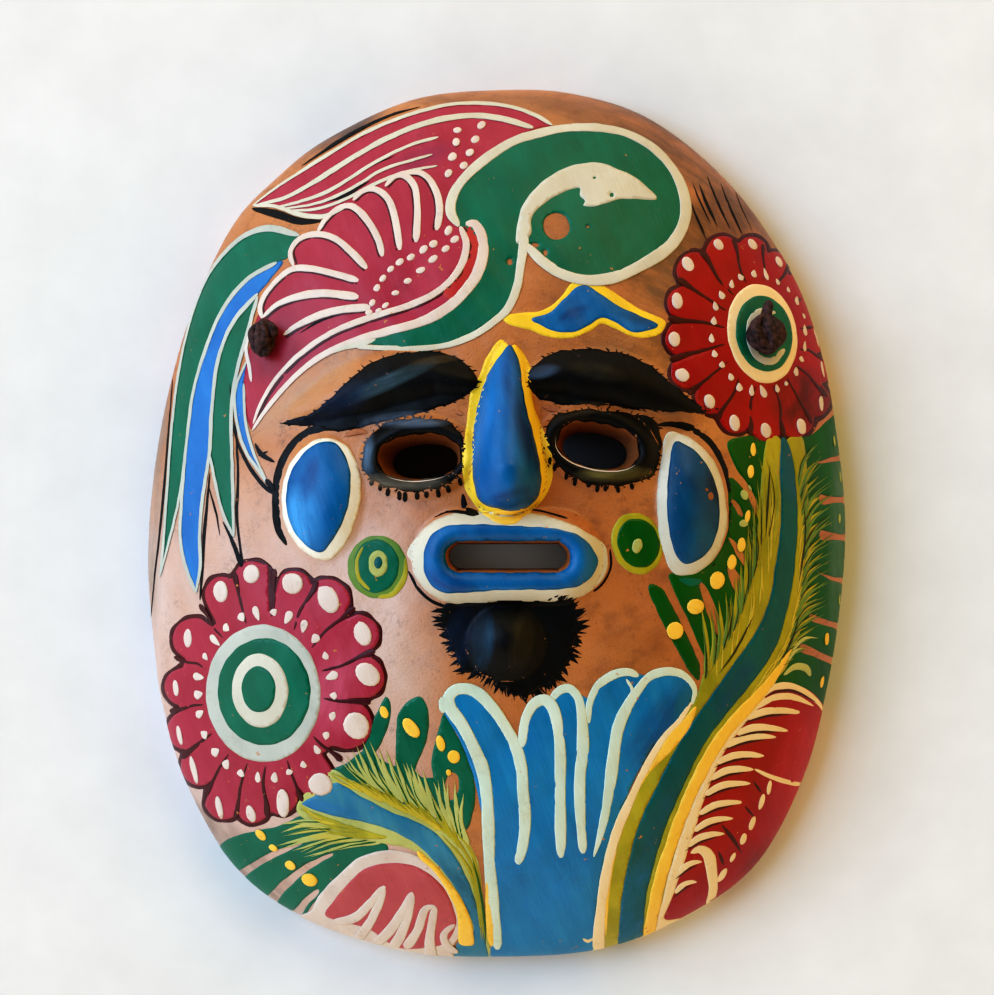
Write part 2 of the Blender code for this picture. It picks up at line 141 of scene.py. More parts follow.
OUTLINE_MM = (
    (82.0, 0.0), (80.1, 20.0), (76.4, 40.0), (68.8, 60.0), (54.8, 80.0), (36.5, 95.0),
    (18.0, 101.2), (0.0, 102.1), (-20.0, 99.8), (-40.0, 90.6), (-52.0, 81.3),
    (-62.4, 70.0), (-71.8, 50.0), (-77.6, 30.0), (-81.0, 10.0), (-82.2, -10.0),
    (-80.6, -30.0), (-78.9, -42.0), (-73.6, -60.0), (-62.3, -80.0), (-46.2, -92.3),
    (-22.7, -100.2), (0.0, -101.9), (24.7, -100.0), (44.8, -92.0), (61.0, -80.0),
    (71.9, -60.0), (77.4, -40.0), (80.7, -20.0),
)

NOSE_TOP = (3.0, 43.5)
NOSE_FOOT = (2.2, 1.8)
NOSE_WIDTH = 11.2
NOSE_HEIGHT = 12.5
NOSE_TIP_AT = 0.72        # share of the nose's length from its top
BACK_NOSE = (2.6, 18.0)   # hollow behind the nose
BACK_NOSE_SIZE = (10.5, 21.0)
BACK_NOSE_DEPTH = 5.5
BACK_SHARE = 0.45         # depth of the other hollows in the back, against the height in front
BROW_LEFT = ((-46.0, 26.5), (-36.0, 31.0), (-25.0, 34.6), (-15.0, 35.4), (-7.0, 33.5))
BROW_RIGHT = ((8.5, 34.5), (17.0, 35.6), (27.0, 34.8), (37.0, 31.0), (46.0, 27.0))
BROW_HALF_WIDTH = 6.6
BROW_HEIGHT = 3.2
# Each eye is its middle, its tilt and the shift of its opening at the back.
EYES = (((-18.3, 15.7), 4.0, (1.2, -0.9)), ((23.8, 18.3), -11.0, (-0.48, -0.9)))
EYE_HALF_LENGTH = 9.3
EYE_HALF_HEIGHT = 4.9
EYE_NARROWING = 0.82      # size of the opening at the back of the wall
EYELID_OFFSET = 2.3       # from the edge of the opening to the crest of the lid
EYELID_HALF_WIDTH = 3.0
EYELID_HEIGHT = 2.2
MOUTH_FROM = (-8.4, -7.8)
MOUTH_TO = (13.6, -7.8)
MOUTH_HALF_HEIGHT = 2.9
LIP_CREST = 3.2           # from the edge of the slot to the crest of the lips
LIP_REACH = 8.6
LIP_HEIGHT = 4.6
LIP_AT_SLOT = 0.55        # share of the height left at the edge of the slot
EARS = (((-41.3, 6.2), (10.2, 15.6)), ((46.2, 4.8), (9.2, 17.4)))
EAR_HEIGHT = 4.4
CHIN = (2.2, -28.0)
CHIN_SIZE = (9.5, 9.0)
CHIN_HEIGHT = 5.2
HOLES = ((-53.6, 43.2), (62.6, 44.4))
HOLE_RADIUS = 2.6
print("outline:", len(OUTLINE_MM), "given points; nose", NOSE_HEIGHT, "mm, brows", BROW_HEIGHT, "mm high")


# %% Heights of the features
def hill(distance, reach):
    """1 at distance 0, falling smoothly to 0 at the reach."""
    return np.clip(1.0 - (distance / reach) ** 2, 0.0, 1.0) ** 1.2


def merged(heights):
    """The highest of some heights, with their meeting lines rounded."""
    return sum(height ** BLEND for height in heights) ** (1.0 / BLEND)


def turned(u, v, centre, degrees):
    """The layout position measured along an axis turned by the given angle."""
    c, s = math.cos(math.radians(degrees)), math.sin(math.radians(degrees))
    du, dv = u - centre[0], v - centre[1]
    return du * c + dv * s, dv * c - du * s


def placed(p, q, centre, degrees):
    """The layout positions of p and q measured along axes turned by the given angle."""
    c, s = math.cos(math.radians(degrees)), math.sin(math.radians(degrees))
    return np.stack([centre[0] + p * c - q * s, centre[1] + p * s + q * c], axis=1)


def circle_angles(sides):
    return np.arange(sides) * 2 * math.pi / sides


# %% Nose and brows
def nose_relief(u, v):
    along = np.clip((NOSE_TOP[1] - v) / (NOSE_TOP[1] - NOSE_FOOT[1]), 0.0, 1.0)
    middle = NOSE_TOP[0] + (NOSE_FOOT[0] - NOSE_TOP[0]) * along
    half = NOSE_WIDTH * np.sqrt(along * (1.0 - along ** 8))
    rise = np.clip(along / NOSE_TIP_AT, 0.0, 1.0) ** 0.9
    fall = np.clip((along - NOSE_TIP_AT) / (1.0 - NOSE_TIP_AT), 0.0, 1.0)
    ridge = NOSE_HEIGHT * rise * np.sqrt(1.0 - fall ** 2)
    across = np.clip(np.abs(u - middle) / np.maximum(half, 0.05), 0.0, 1.0)
    return ridge * np.where(half > 0.05, (1.0 - across ** 2.4) ** 1.3, 0.0)


def ridge_relief(u, v, route):
    """A swelling along a route, slimmer at both of its ends."""
    route = np.array(route)
    steps = np.linalg.norm(np.diff(route, axis=0), axis=1)
    runs = np.concatenate([[0.0], np.cumsum(steps)]) / steps.sum()
    best = np.full(np.shape(u), np.inf)
    place = np.zeros(np.shape(u))
    for k in range(len(route) - 1):
        (a, b), (c, d) = route[k], route[k + 1]
        t = np.clip(((u - a) * (c - a) + (v - b) * (d - b)) / steps[k] ** 2, 0.0, 1.0)
        distance = np.hypot(u - a - t * (c - a), v - b - t * (d - b))
        nearer = distance < best
        best = np.where(nearer, distance, best)
        place = np.where(nearer, runs[k] + t * (runs[k + 1] - runs[k]), place)
    slim = 0.45 + 0.55 * np.sin(math.pi * place)
    return BROW_HEIGHT * slim * hill(best, BROW_HALF_WIDTH * slim)


# %% Eyelids, lips and ovals
def eyelid_relief(u, v, centre, tilt):
    p, q = turned(u, v, centre, tilt)
    size = np.maximum(np.hypot(p / EYE_HALF_LENGTH, q / EYE_HALF_HEIGHT), 0.01)
    outside = np.hypot(p, q) * (1.0 - 1.0 / size)
    return EYELID_HEIGHT * hill(outside - EYELID_OFFSET, EYELID_HALF_WIDTH)


def lip_relief(u, v):
    nearest = np.clip(u, MOUTH_FROM[0], MOUTH_TO[0])
    outside = np.hypot(u - nearest, v - MOUTH_FROM[1]) - MOUTH_HALF_HEIGHT
    rolled_in = LIP_AT_SLOT + (1.0 - LIP_AT_SLOT) * hill(outside - LIP_CREST, LIP_CREST)
    falling = hill(outside - LIP_CREST, LIP_REACH - LIP_CREST)
    return LIP_HEIGHT * np.where(outside < LIP_CREST, rolled_in, falling)


def oval_relief(u, v, centre, size, height):
    return height * hill(np.hypot((u - centre[0]) / size[0], (v - centre[1]) / size[1]), 1.0)


# %% The two reliefs
def face_relief(u, v):
    """Raised features of the front, in metres above the dome."""
    return MM * merged(
        [ridge_relief(u, v, route) for route in (BROW_LEFT, BROW_RIGHT)]
        + [eyelid_relief(u, v, middle, tilt) for middle, tilt, _ in EYES]
        + [oval_relief(u, v, middle, size, EAR_HEIGHT) for middle, size in EARS]
        + [oval_relief(u, v, CHIN, CHIN_SIZE, CHIN_HEIGHT), lip_relief(u, v), nose_relief(u, v)])


def back_relief(u, v):
    """Softer hollows pressed into the back behind the nose, chin and ears."""
    return MM * merged(
        [oval_relief(u, v, BACK_NOSE, BACK_NOSE_SIZE, BACK_NOSE_DEPTH),
         oval_relief(u, v, CHIN, CHIN_SIZE, BACK_SHARE * CHIN_HEIGHT)]
        + [oval_relief(u, v, middle, size, BACK_SHARE * EAR_HEIGHT) for middle, size in EARS])


print("chin:", round(float(face_relief(*map(np.array, CHIN)) / MM), 1), "mm above the dome")

# %% [markdown]
# ## Unrolling the surface
# Near the rim the dome is almost upright, so paint drawn in the flat layout would be stretched
# there. The work is done on an unrolled sheet instead: a place keeps its direction from the
# middle, and its distance becomes the distance walked over the clay. Three tables along one
# share of the way to the rim, 0 at the middle and 1 at the skirt, tie the views together.

# %% Tables from the middle to the rim
TABLE_ROWS = 600
SHARE = 1.0 - np.linspace(1.0, 0.0, TABLE_ROWS) ** 3
RISE = DOME * (1.0 - SHARE ** DOME_ROUND) ** DOME_SIDE
SEEN = SHARE * (VIEW_DISTANCE - SKIRT) / (VIEW_DISTANCE - SKIRT - RISE)
MEAN_REACH = 0.09
PAINT_STOP = 6.5          # how far down the skirt the paint may go, in mm
WALKED = np.concatenate([[0.0], np.cumsum(np.hypot(np.diff(SHARE), np.diff(RISE) / MEAN_REACH))])

OUTLINE_STEP_MM = 1.0
loop = smooth_points(OUTLINE_MM, OUTLINE_STEP_MM, closed=True) * MM
LOOP_ANGLE = np.arctan2(loop[:, 1], loop[:, 0])
LOOP_RADIUS = np.hypot(loop[:, 0], loop[:, 1])
order = np.argsort(LOOP_ANGLE)
LOOP_ANGLE, LOOP_RADIUS = LOOP_ANGLE[order], LOOP_RADIUS[order]


def rim_reach(x, y):
    """Distance in metres from the middle to the outline, in the direction of each point."""
    return np.interp(np.arctan2(y, x), LOOP_ANGLE, LOOP_RADIUS, period=2 * math.pi)


def to_sheet(marks):
    """Places on the unrolled sheet, in mm, of places of the flat layout."""
    marks = np.asarray(marks, dtype=float)
    far = np.maximum(np.hypot(marks[:, 0], marks[:, 1]), 1e-6)
    reach = rim_reach(marks[:, 0], marks[:, 1]) / MM
    walked = np.interp(far / reach, SEEN, WALKED) * reach + np.clip(far - reach, 0.0, PAINT_STOP)
    return marks * (walked / far)[:, None]


# %% The painted side
NORMAL_STEP = 0.12        # between the points that give the direction out of the clay, in mm


def hand_finish(u, v):
    """The slight waves that pressing and smoothing by hand leave in the clay, in mm."""
    wave = 0.16 * np.sin(0.21 * u + 0.9) * np.sin(0.17 * v + 0.4)
    wave += 0.10 * np.sin(0.33 * u - 0.28 * v + 2.0) + 0.06 * np.sin(0.61 * u + 0.47 * v)
    return wave + 0.03 * np.sin(1.3 * u + 0.4) * np.sin(1.1 * v + 1.9)


def rolled_back(spots):
    """Of places on the sheet: direction, distance to the rim, share of it, and way down the skirt."""
    far = np.maximum(np.hypot(spots[:, 0], spots[:, 1]), 1e-9)
    reach = rim_reach(spots[:, 0], spots[:, 1])
    walked = far * MM / reach
    down = np.clip(walked - WALKED[-1], 0.0, None) * reach
    return spots / far[:, None], reach, np.interp(walked, WALKED, SHARE), down


def clay_point(spots):
    """Points of the painted side of the clay, in metres, for places on the sheet."""
    way, reach, share, down = rolled_back(spots)
    radius = share * reach - 2 * RIM_ROUND * (down / SKIRT) ** 4
    seen = np.interp(share, SHARE, SEEN) * reach / MM
    u, v = way[:, 0] * seen, way[:, 1] * seen
    rise = DOME * np.clip(1.0 - share ** DOME_ROUND, 0.0, 1.0) ** DOME_SIDE
    waves = MM * hand_finish(u, v) * (1.0 - share ** 12)
    z = SKIRT + rise + face_relief(u, v) + waves - down
    return np.stack([way[:, 0] * radius, way[:, 1] * radius, z], axis=1)


def on_clay(spots, lift=0.0):
    """Points lifted off the clay by some millimetres, and the direction out of it."""
    spots = np.asarray(spots, dtype=float)
    right = clay_point(spots + (NORMAL_STEP, 0.0)) - clay_point(spots - (NORMAL_STEP, 0.0))
    up = clay_point(spots + (0.0, NORMAL_STEP)) - clay_point(spots - (0.0, NORMAL_STEP))
    out = np.cross(right, up)
    out /= np.linalg.norm(out, axis=1)[:, None]
    return clay_point(spots) + out * (np.asarray(lift) * MM)[..., None], out


print("walk from the middle to the rim:", round(float(WALKED[-1] * MEAN_REACH / MM), 1), "mm")

# %% [markdown]
# ## Finishes
# Every finish is worked out from the place on the piece, so it needs no picture. Two effects are
# shared by most of them, and each is a node group: the uneven colour and the fine ridges that a
# brush leaves, and the wear, which is small chips that show clay and a little dirt in scattered
# patches. The varnish is the clear coat of each material's own shader.

# %% Node helpers
def srgb(red, green, blue):
    """A colour on the 0 to 255 scale, as the linear colour that shaders use."""
    parts = [value / 255.0 for value in (red, green, blue)]
    return tuple(c / 12.92 if c <= 0.04045 else ((c + 0.055) / 1.055) ** 2.4 for c in parts) + (1.0,)


def add_node(tree, kind, inputs=(), **settings):
    """A node with its settings; inputs maps a socket to a value or to another node's socket."""
    node = tree.nodes.new(kind)
    for name, value in settings.items():
        setattr(node, name, value)
    for socket, value in dict(inputs).items():
        if isinstance(value, bpy.types.NodeSocket):
            tree.links.new(value, node.inputs[socket])
        else:
            node.inputs[socket].default_value = value
    return node


def new_group(name, kind, inputs, outputs):
    """An empty node group with its sockets, and its input and output nodes."""
    tree = bpy.data.node_groups.new(name, kind)
    for label, socket, value in inputs:
        made = tree.interface.new_socket(label, in_out='INPUT', socket_type=socket)
        if value is not None:
            made.default_value = value
    for label, socket in outputs:
        tree.interface.new_socket(label, in_out='OUTPUT', socket_type=socket)
    return tree, tree.nodes.new('NodeGroupInput'), tree.nodes.new('NodeGroupOutput')


def mix_colours(tree, share, first, second):
    return add_node(tree, 'ShaderNodeMix', {0: share, 6: first, 7: second}, data_type='RGBA').outputs[2]


def noise(tree, scale, detail, stretch=(1.0, 1.0, 1.0), turn=0.0, roughness=0.55):
    """Noise over the piece's own place, its scale in features for each metre."""
    place = add_node(tree, 'ShaderNodeTexCoord')
    mapped = add_node(tree, 'ShaderNodeMapping', {
        'Vector': place.outputs['Object'], 'Rotation': (0.0, 0.0, math.radians(turn)),
        'Scale': [1.0 / share for share in stretch]}, vector_type='TEXTURE')
    return add_node(tree, 'ShaderNodeTexNoise', {
        'Vector': mapped.outputs[0], 'Scale': scale, 'Detail': detail, 'Roughness': roughness})


def between(tree, value, low, high, to_low=0.0, to_high=1.0):
    """The value stretched so that low and high become to_low and to_high, and clipped there."""
    return add_node(tree, 'ShaderNodeMapRange', {
        0: value, 1: low, 2: high, 3: to_low, 4: to_high}).outputs[0]


def times(tree, first, second):
    return add_node(tree, 'ShaderNodeMath', {0: first, 1: second}, operation='MULTIPLY').outputs[0]


def plus(tree, first, second):
    return add_node(tree, 'ShaderNodeMath', {0: first, 1: second}, operation='ADD').outputs[0]


# %% Brushed colour
COLOUR, NUMBER = 'NodeSocketColor', 'NodeSocketFloat'
brushed, source, result = new_group(
    "brushed_colour", 'ShaderNodeTree',
    [("Paint", COLOUR, None), ("Thin", COLOUR, None), ("Thick", COLOUR, None),
     ("Thin share", NUMBER, 0.4), ("Thick share", NUMBER, 0.4)],
    [("Color", COLOUR), ("Height", NUMBER)])
pools = noise(brushed, 75.0, 4.0)
ridges = noise(brushed, 260.0, 4.0, (1.0, 0.16, 0.3), 20.0)
fibres = noise(brushed, 1500.0, 2.0, (1.0, 0.10, 0.2), 20.0)
thin = times(brushed, between(brushed, ridges.outputs[0], 0.40, 0.72), source.outputs["Thin share"])
thick = times(brushed, between(brushed, pools.outputs[0], 0.42, 0.70), source.outputs["Thick share"])
tinted = mix_colours(brushed, thin, source.outputs["Paint"], source.outputs["Thin"])
tinted = mix_colours(brushed, thick, tinted, source.outputs["Thick"])
brushed.links.new(tinted, result.inputs["Color"])
brushed.links.new(plus(brushed, ridges.outputs[0], fibres.outputs[0]), result.inputs["Height"])
print(brushed.name, len(brushed.nodes), "nodes")

# %% Chips and dirt
worn, source, result = new_group(
    "chips_and_dirt", 'ShaderNodeTree',
    [("Chips", NUMBER, 0.3), ("Dirt", NUMBER, 0.3)],
    [("Chipped", NUMBER), ("Dirty", NUMBER)])
places = noise(worn, 55.0, 2.0)
flakes = noise(worn, 620.0, 3.0, roughness=0.6)
specks = noise(worn, 900.0, 2.0, roughness=0.7)
patches = noise(worn, 120.0, 5.0, roughness=0.65)
bitten = plus(worn, between(worn, places.outputs[0], 0.45, 0.75, 0.0, 0.10), flakes.outputs[0])
chipped = times(worn, between(worn, bitten, 0.735, 0.755), source.outputs["Chips"])
dusty = times(worn, between(worn, patches.outputs[0], 0.52, 0.80),
              between(worn, specks.outputs[0], 0.45, 0.70))
worn.links.new(chipped, result.inputs["Chipped"])
worn.links.new(times(worn, dusty, source.outputs["Dirt"]), result.inputs["Dirty"])
print(worn.name, len(worn.nodes), "nodes")

# %% [markdown]
# The clay is warm brown, redder where it was fired hotter, with dark pores, pale scuffs and fine
# scratches. A painted sheen whitens the left cheek and jaw where the varnish would mirror the
# window, and a dirty brush has darkened the clay at the top right. A paint keeps its own colour in
# three mixes: as brewed, thin where the clay warms it, and thick where it pooled.

# %% Colours of the clay
CLAY = srgb(190, 124, 68)
# Each cloud is its colour, middle, size, turn and share, here and in the paints.
# Of these, the greyish clouds at the far left rim and at the lower left are painted sheen, and the two dark
# clouds round the eye openings are painted shade at the openings' edges, with some dirt round the eyes.
CLAY_CLOUDS_SHEEN_AND_SHADE = (((70, 56, 52), (-37, 92), (16, 3.6), 31, 0.9), ((92, 52, 28), (52, 70), (9, 15), -62, 0.9),
    ((96, 60, 40), (10, 98), (40, 3.4), -4, 0.5), ((92, 54, 30), (38, 24), (7, 4), -20, 0.7),
    ((112, 62, 34), (30, -28), (12, 8), 30, 0.5), ((146, 122, 104), (-81, 6), (46, 5), 87, 0.8),
    ((184, 142, 106), (-44, 31), (20, 9), 36, 0.8), ((84, 54, 38), (-18.3, 15.7), (15, 10), 4, 0.6),
    ((70, 44, 32), (23.8, 18.3), (15, 10), -11, 0.6), ((132, 106, 90), (-64, -78), (34, 10), -44, 0.85))
PAINTED_SHEEN = srgb(210, 182, 168)
SMOKED = srgb(98, 66, 44)
CLAY_DIRT = srgb(70, 44, 32)
PAINT_DIRT = srgb(52, 44, 38)
CLAY_RELIEF = 0.00022     # depth of the clay's grain, in metres
BRUSH_RELIEF = 0.0001     # depth of a brush's ridges
print("clouds in the clay:", len(CLAY_CLOUDS_SHEEN_AND_SHADE))


# %% Parts of a finish
def shader_of(material):
    return material.node_tree.nodes['Principled BSDF']


def add_bump(material, height, distance, strength):
    bump = add_node(material.node_tree, 'ShaderNodeBump', {
        'Height': height, 'Distance': distance, 'Strength': strength})
    material.node_tree.links.new(bump.outputs[0], shader_of(material).inputs['Normal'])


def new_material(name, roughness, coat, coat_roughness, specular):
    material = bpy.data.materials.new(name)
    material.use_nodes = True
    shader = shader_of(material)
    shader.inputs['Roughness'].default_value = roughness
    shader.inputs['Specular IOR Level'].default_value = specular
    shader.inputs['Coat Weight'].default_value = coat
    shader.inputs['Coat Roughness'].default_value = coat_roughness
    print("finish:", name)
    return material


def blob(tree, centre, size, turn):
    """A soft ellipse, 1 at its middle and 0 outside, placed and sized in mm."""
    place = add_node(tree, 'ShaderNodeTexCoord')
    mapped = add_node(tree, 'ShaderNodeMapping', {
        'Vector': place.outputs['Object'], 'Location': (centre[0] * MM, centre[1] * MM, 0.0),
        'Rotation': (0.0, 0.0, math.radians(turn)), 'Scale': (size[0] * MM, size[1] * MM, 10.0)},
        vector_type='TEXTURE')
    far = add_node(tree, 'ShaderNodeVectorMath', {0: mapped.outputs[0]}, operation='LENGTH')
    return between(tree, far.outputs['Value'], 1.0, 0.5)


def patch(tree, x, y):
    """A soft-edged share of 1 where x and y, in mm, pass from the first to the second of a pair."""
    place = add_node(tree, 'ShaderNodeTexCoord')
    axes = add_node(tree, 'ShaderNodeSeparateXYZ', {0: place.outputs['Object']})
    across = between(tree, axes.outputs['X'], x[0] * MM, x[1] * MM)
    upward = between(tree, axes.outputs['Y'], y[0] * MM, y[1] * MM)
    return times(tree, across, upward)


def cloud(tree, colour, tint, centre, size, turn, share):
    """A soft cloud of a second colour, with the brush's streaks running the way it is turned."""
    streaks = noise(tree, 210.0, 4.0, (0.2, 1.0, 0.6), turn, 0.6)
    soft = times(tree, blob(tree, centre, size, turn),
                 between(tree, streaks.outputs[0], 0.40, 0.60, 0.35 * share, share))
    return mix_colours(tree, soft, colour, srgb(*tint))


# %% A clay finish
def make_clay(name, light, red, dark, coat, varnished=False):
    material = new_material(name, 0.62, coat, 0.42, 0.2)
    tree, shader = material.node_tree, shader_of(material)
    fired = noise(tree, 22.0, 3.0)
    mottled = noise(tree, 170.0, 5.0, roughness=0.6)
    wiped = noise(tree, 140.0, 4.0, (0.18, 1.0, 0.5), -12.0)
    pores = noise(tree, 1700.0, 2.0, roughness=0.5)
    scratches = noise(tree, 800.0, 2.0, (0.05, 1.0, 0.3), 35.0)
    colour = mix_colours(tree, between(tree, fired.outputs[0], 0.35, 0.68), light, red)
    colour = mix_colours(tree, between(tree, mottled.outputs[0], 0.50, 0.75, 0.0, 0.55), colour, dark)
    pale = tuple(1.18 * c for c in light[:3]) + (1.0,)
    colour = mix_colours(tree, between(tree, wiped.outputs[0], 0.52, 0.72, 0.0, 0.55), colour, pale)
    colour = mix_colours(tree, between(tree, scratches.outputs[0], 0.70, 0.76, 0.0, 0.30), colour, dark)
    colour = mix_colours(tree, between(tree, pores.outputs[0], 0.68, 0.75, 0.0, 0.75), colour, dark)
    if varnished:
        # Painted sheen: the left cheek and jaw are whitened where the varnish would mirror the window's
        # light.
        sheen_streaks = noise(tree, 60.0, 4.0, (1.0, 0.5, 1.0), 30.0)
        sheen_share = times(tree, patch(tree, (-8.0, -23.0), (17.0, -6.0)),
                      between(tree, sheen_streaks.outputs[0], 0.30, 0.62, 0.55, 1.0))
        colour = mix_colours(tree, sheen_share, colour, PAINTED_SHEEN)
        brush = noise(tree, 95.0, 5.0, (0.22, 1.0, 1.0), -25.0, 0.65)
        smoky = times(tree, patch(tree, (4.0, 30.0), (24.0, 44.0)),
                      between(tree, brush.outputs[0], 0.40, 0.58, 0.05, 0.85))
        colour = mix_colours(tree, smoky, colour, SMOKED)
        for tint, centre, size, turn, share in CLAY_CLOUDS_SHEEN_AND_SHADE:
            colour = cloud(tree, colour, tint, centre, size, turn, share)
    wear = add_node(tree, 'ShaderNodeGroup', node_tree=worn)
    wear.inputs["Dirt"].default_value = 0.75
    colour = mix_colours(tree, wear.outputs["Dirty"], colour, CLAY_DIRT)
    tree.links.new(colour, shader.inputs['Base Color'])
    tree.links.new(between(tree, mottled.outputs[0], 0.3, 0.7, 0.42, 0.64), shader.inputs['Roughness'])
    add_bump(material, plus(tree, mottled.outputs[0], pores.outputs[0]), CLAY_RELIEF, 0.8)
    return material


# %% A paint finish
def make_paint(name, paint, thin, thick, thin_share=0.45, thick_share=0.45, chips=1.0,
               dirt=0.35, roughness=0.50, coat=0.3, clouds=()):
    material = new_material(name, roughness, coat, 0.32, 0.15)
    tree, shader = material.node_tree, shader_of(material)
    brush = add_node(tree, 'ShaderNodeGroup', node_tree=brushed)
    brush.inputs["Paint"].default_value = srgb(*paint)
    brush.inputs["Thin"].default_value = srgb(*thin)
    brush.inputs["Thick"].default_value = srgb(*thick)
    brush.inputs["Thin share"].default_value = thin_share
    brush.inputs["Thick share"].default_value = thick_share
    wear = add_node(tree, 'ShaderNodeGroup', node_tree=worn)
    wear.inputs["Chips"].default_value = chips
    wear.inputs["Dirt"].default_value = dirt
    colour = brush.outputs["Color"]
    for tint, centre, size, turn, share in clouds:
        colour = cloud(tree, colour, tint, centre, size, turn, share)
    colour = mix_colours(tree, wear.outputs["Dirty"], colour, PAINT_DIRT)
    colour = mix_colours(tree, wear.outputs["Chipped"], colour, CLAY)
    tree.links.new(colour, shader.inputs['Base Color'])
    tree.links.new(between(tree, brush.outputs["Height"], 0.7, 1.3, roughness - 0.10, roughness + 0.12),
                   shader.inputs['Roughness'])
    add_bump(material, brush.outputs["Height"], BRUSH_RELIEF, 0.9)
    return material


# %% The clays
clay = make_clay("fired_clay", CLAY, srgb(180, 108, 60), srgb(112, 66, 40), 0.7, varnished=True)
raw_clay = make_clay("raw_clay", srgb(156, 98, 56), srgb(136, 78, 42), srgb(84, 52, 34), 0)
bare_clay = make_clay("bare_clay", srgb(188, 122, 84), srgb(172, 104, 70), srgb(120, 76, 54), 0)

# %% Reds and greens
# Its palest cloud, over the left flower's right-hand petals, is painted sheen.
crimson = make_paint("crimson", (168, 48, 68), (184, 70, 90), (146, 32, 50),
    clouds=(((120, 44, 84), (-17, 84), (9, 4), 20, 0.6), ((126, 26, 40), (-50, 38), (8, 9), 40, 0.6),
    ((196, 92, 108), (-14, 56), (7, 5), 45, 0.4), ((206, 100, 124), (-36, -38), (13, 7), 80, 0.5)))
pale_crimson = make_paint("pale_crimson", (188, 82, 86), (204, 106, 108), (168, 60, 68))
# Its dark cloud on the right flower's outer petals is painted shade where the dome turns from the light,
# and its pale cloud near the rim by the comb is a painted reflection.
deep_red = make_paint("deep_red", (162, 10, 20), (182, 28, 34), (132, 5, 12),
    clouds=(((84, 16, 16), (72, 28), (9, 14), 60, 0.85), ((200, 44, 54), (70, -56), (14, 7), 70, 0.5),
    ((104, 20, 20), (64, -82), (9, 14), 50, 0.7)))
orange_red = make_paint("orange_red", (184, 50, 48), (196, 72, 62), (166, 36, 38))
plum = make_paint("plum", (70, 14, 20), (90, 24, 28), (46, 10, 14))
green = make_paint("green", (0, 104, 78), (14, 124, 96), (0, 84, 58))
leaf_green = make_paint("leaf_green", (2, 88, 18), (20, 108, 28), (0, 66, 10),
    clouds=(((74, 116, 92), (81, -6), (38, 4.6), 90, 0.9),))

# %% Blues
# Some of its clouds paint light and shade on the relief: the light cloud on the nose's left side is a
# painted highlight and the navy one on its right side painted shade, and on the left ear the light cloud
# below and the darker one above paint the shading of a small dimple.
blue = make_paint("blue", (6, 98, 156), (26, 122, 184), (3, 72, 126), 0.6, 0.5,
    clouds=(((52, 136, 204), (-3.2, 22), (10, 2.4), 80, 0.7),
    ((4, 40, 92), (7.6, 20), (14, 3.8), 102, 0.9), ((5, 56, 108), (3.4, 32), (9, 3), 95, 0.7),
    ((4, 44, 96), (4, 5.6), (8, 2.8), 15, 0.7), ((66, 156, 212), (-43.6, 0.6), (9, 5.6), 100, 0.9),
    ((4, 62, 122), (-41.6, 9.6), (7, 2.4), 70, 0.9), ((6, 52, 112), (-10, -13), (8, 2.6), -25, 0.7),
    ((50, 132, 196), (2, -14.9), (12, 1.2), 0, 0.5), ((4, 46, 104), (17, 46.8), (4.6, 1.8), 25, 0.6),
    ((5, 66, 104), (31, 47.4), (8, 3), -20, 0.8)))
# A darker copy of the blue that paints the right ear in shade; its navy cloud on the ear's right is painted
# shade, and its lighter cloud at the lower left painted light.
shaded_blue = make_paint("shaded_blue", (4, 74, 112), (14, 96, 140), (3, 48, 80), 0.6, 0.6,
    clouds=(((2, 24, 54), (49.8, 8), (6.6, 3.2), 110, 0.95), ((16, 98, 134), (45, -4), (6, 4), 80, 0.6)))
tulip_blue = make_paint("tulip_blue", (20, 124, 178), (50, 148, 196), (12, 100, 152), 0.5, 0.5,
    clouds=(((10, 82, 136), (36.6, -46), (14, 6), 58, 0.8),
    ((26, 108, 104), (42.8, -40.6), (6, 3.6), 70, 0.7),
    ((34, 118, 138), (24.6, -72), (16, 2.6), 78, 0.7)))
stem_blue = make_paint("stem_blue", (46, 126, 158), (84, 150, 158), (26, 102, 142), 0.7, 0.5,
    clouds=(((30, 98, 124), (-9, -84), (12, 4), -64, 0.9),
    ((28, 110, 172), (-38, -65.6), (9, 3.4), -20, 0.8)))
sky_blue = make_paint("sky_blue", (36, 116, 184), (60, 140, 204), (24, 96, 164))
teal = make_paint("teal", (0, 94, 94), (8, 112, 112), (0, 74, 78),
    clouds=(((14, 92, 142), (67.8, 13), (10, 4), 90, 0.9), ((4, 76, 112), (55, -37.6), (10, 6), 50, 0.7),
    ((14, 106, 146), (32, -89), (16, 6), 76, 0.9), ((6, 84, 112), (37, -68), (10, 4), 64, 0.6)))

# %% Whites and yellows
white = make_paint("white", (206, 200, 180), (190, 182, 160), (220, 216, 198), 0.35, 0.5, 0.7, 0.25)
# A darker, bluer copy of the white: it paints bluish shade onto the left flower's ring, and the left
# feathers' outlines use it too.
cool_white = make_paint("cool_white", (186, 188, 174), (168, 172, 162), (204, 204, 190), 0.5, 0.5, 0.7)
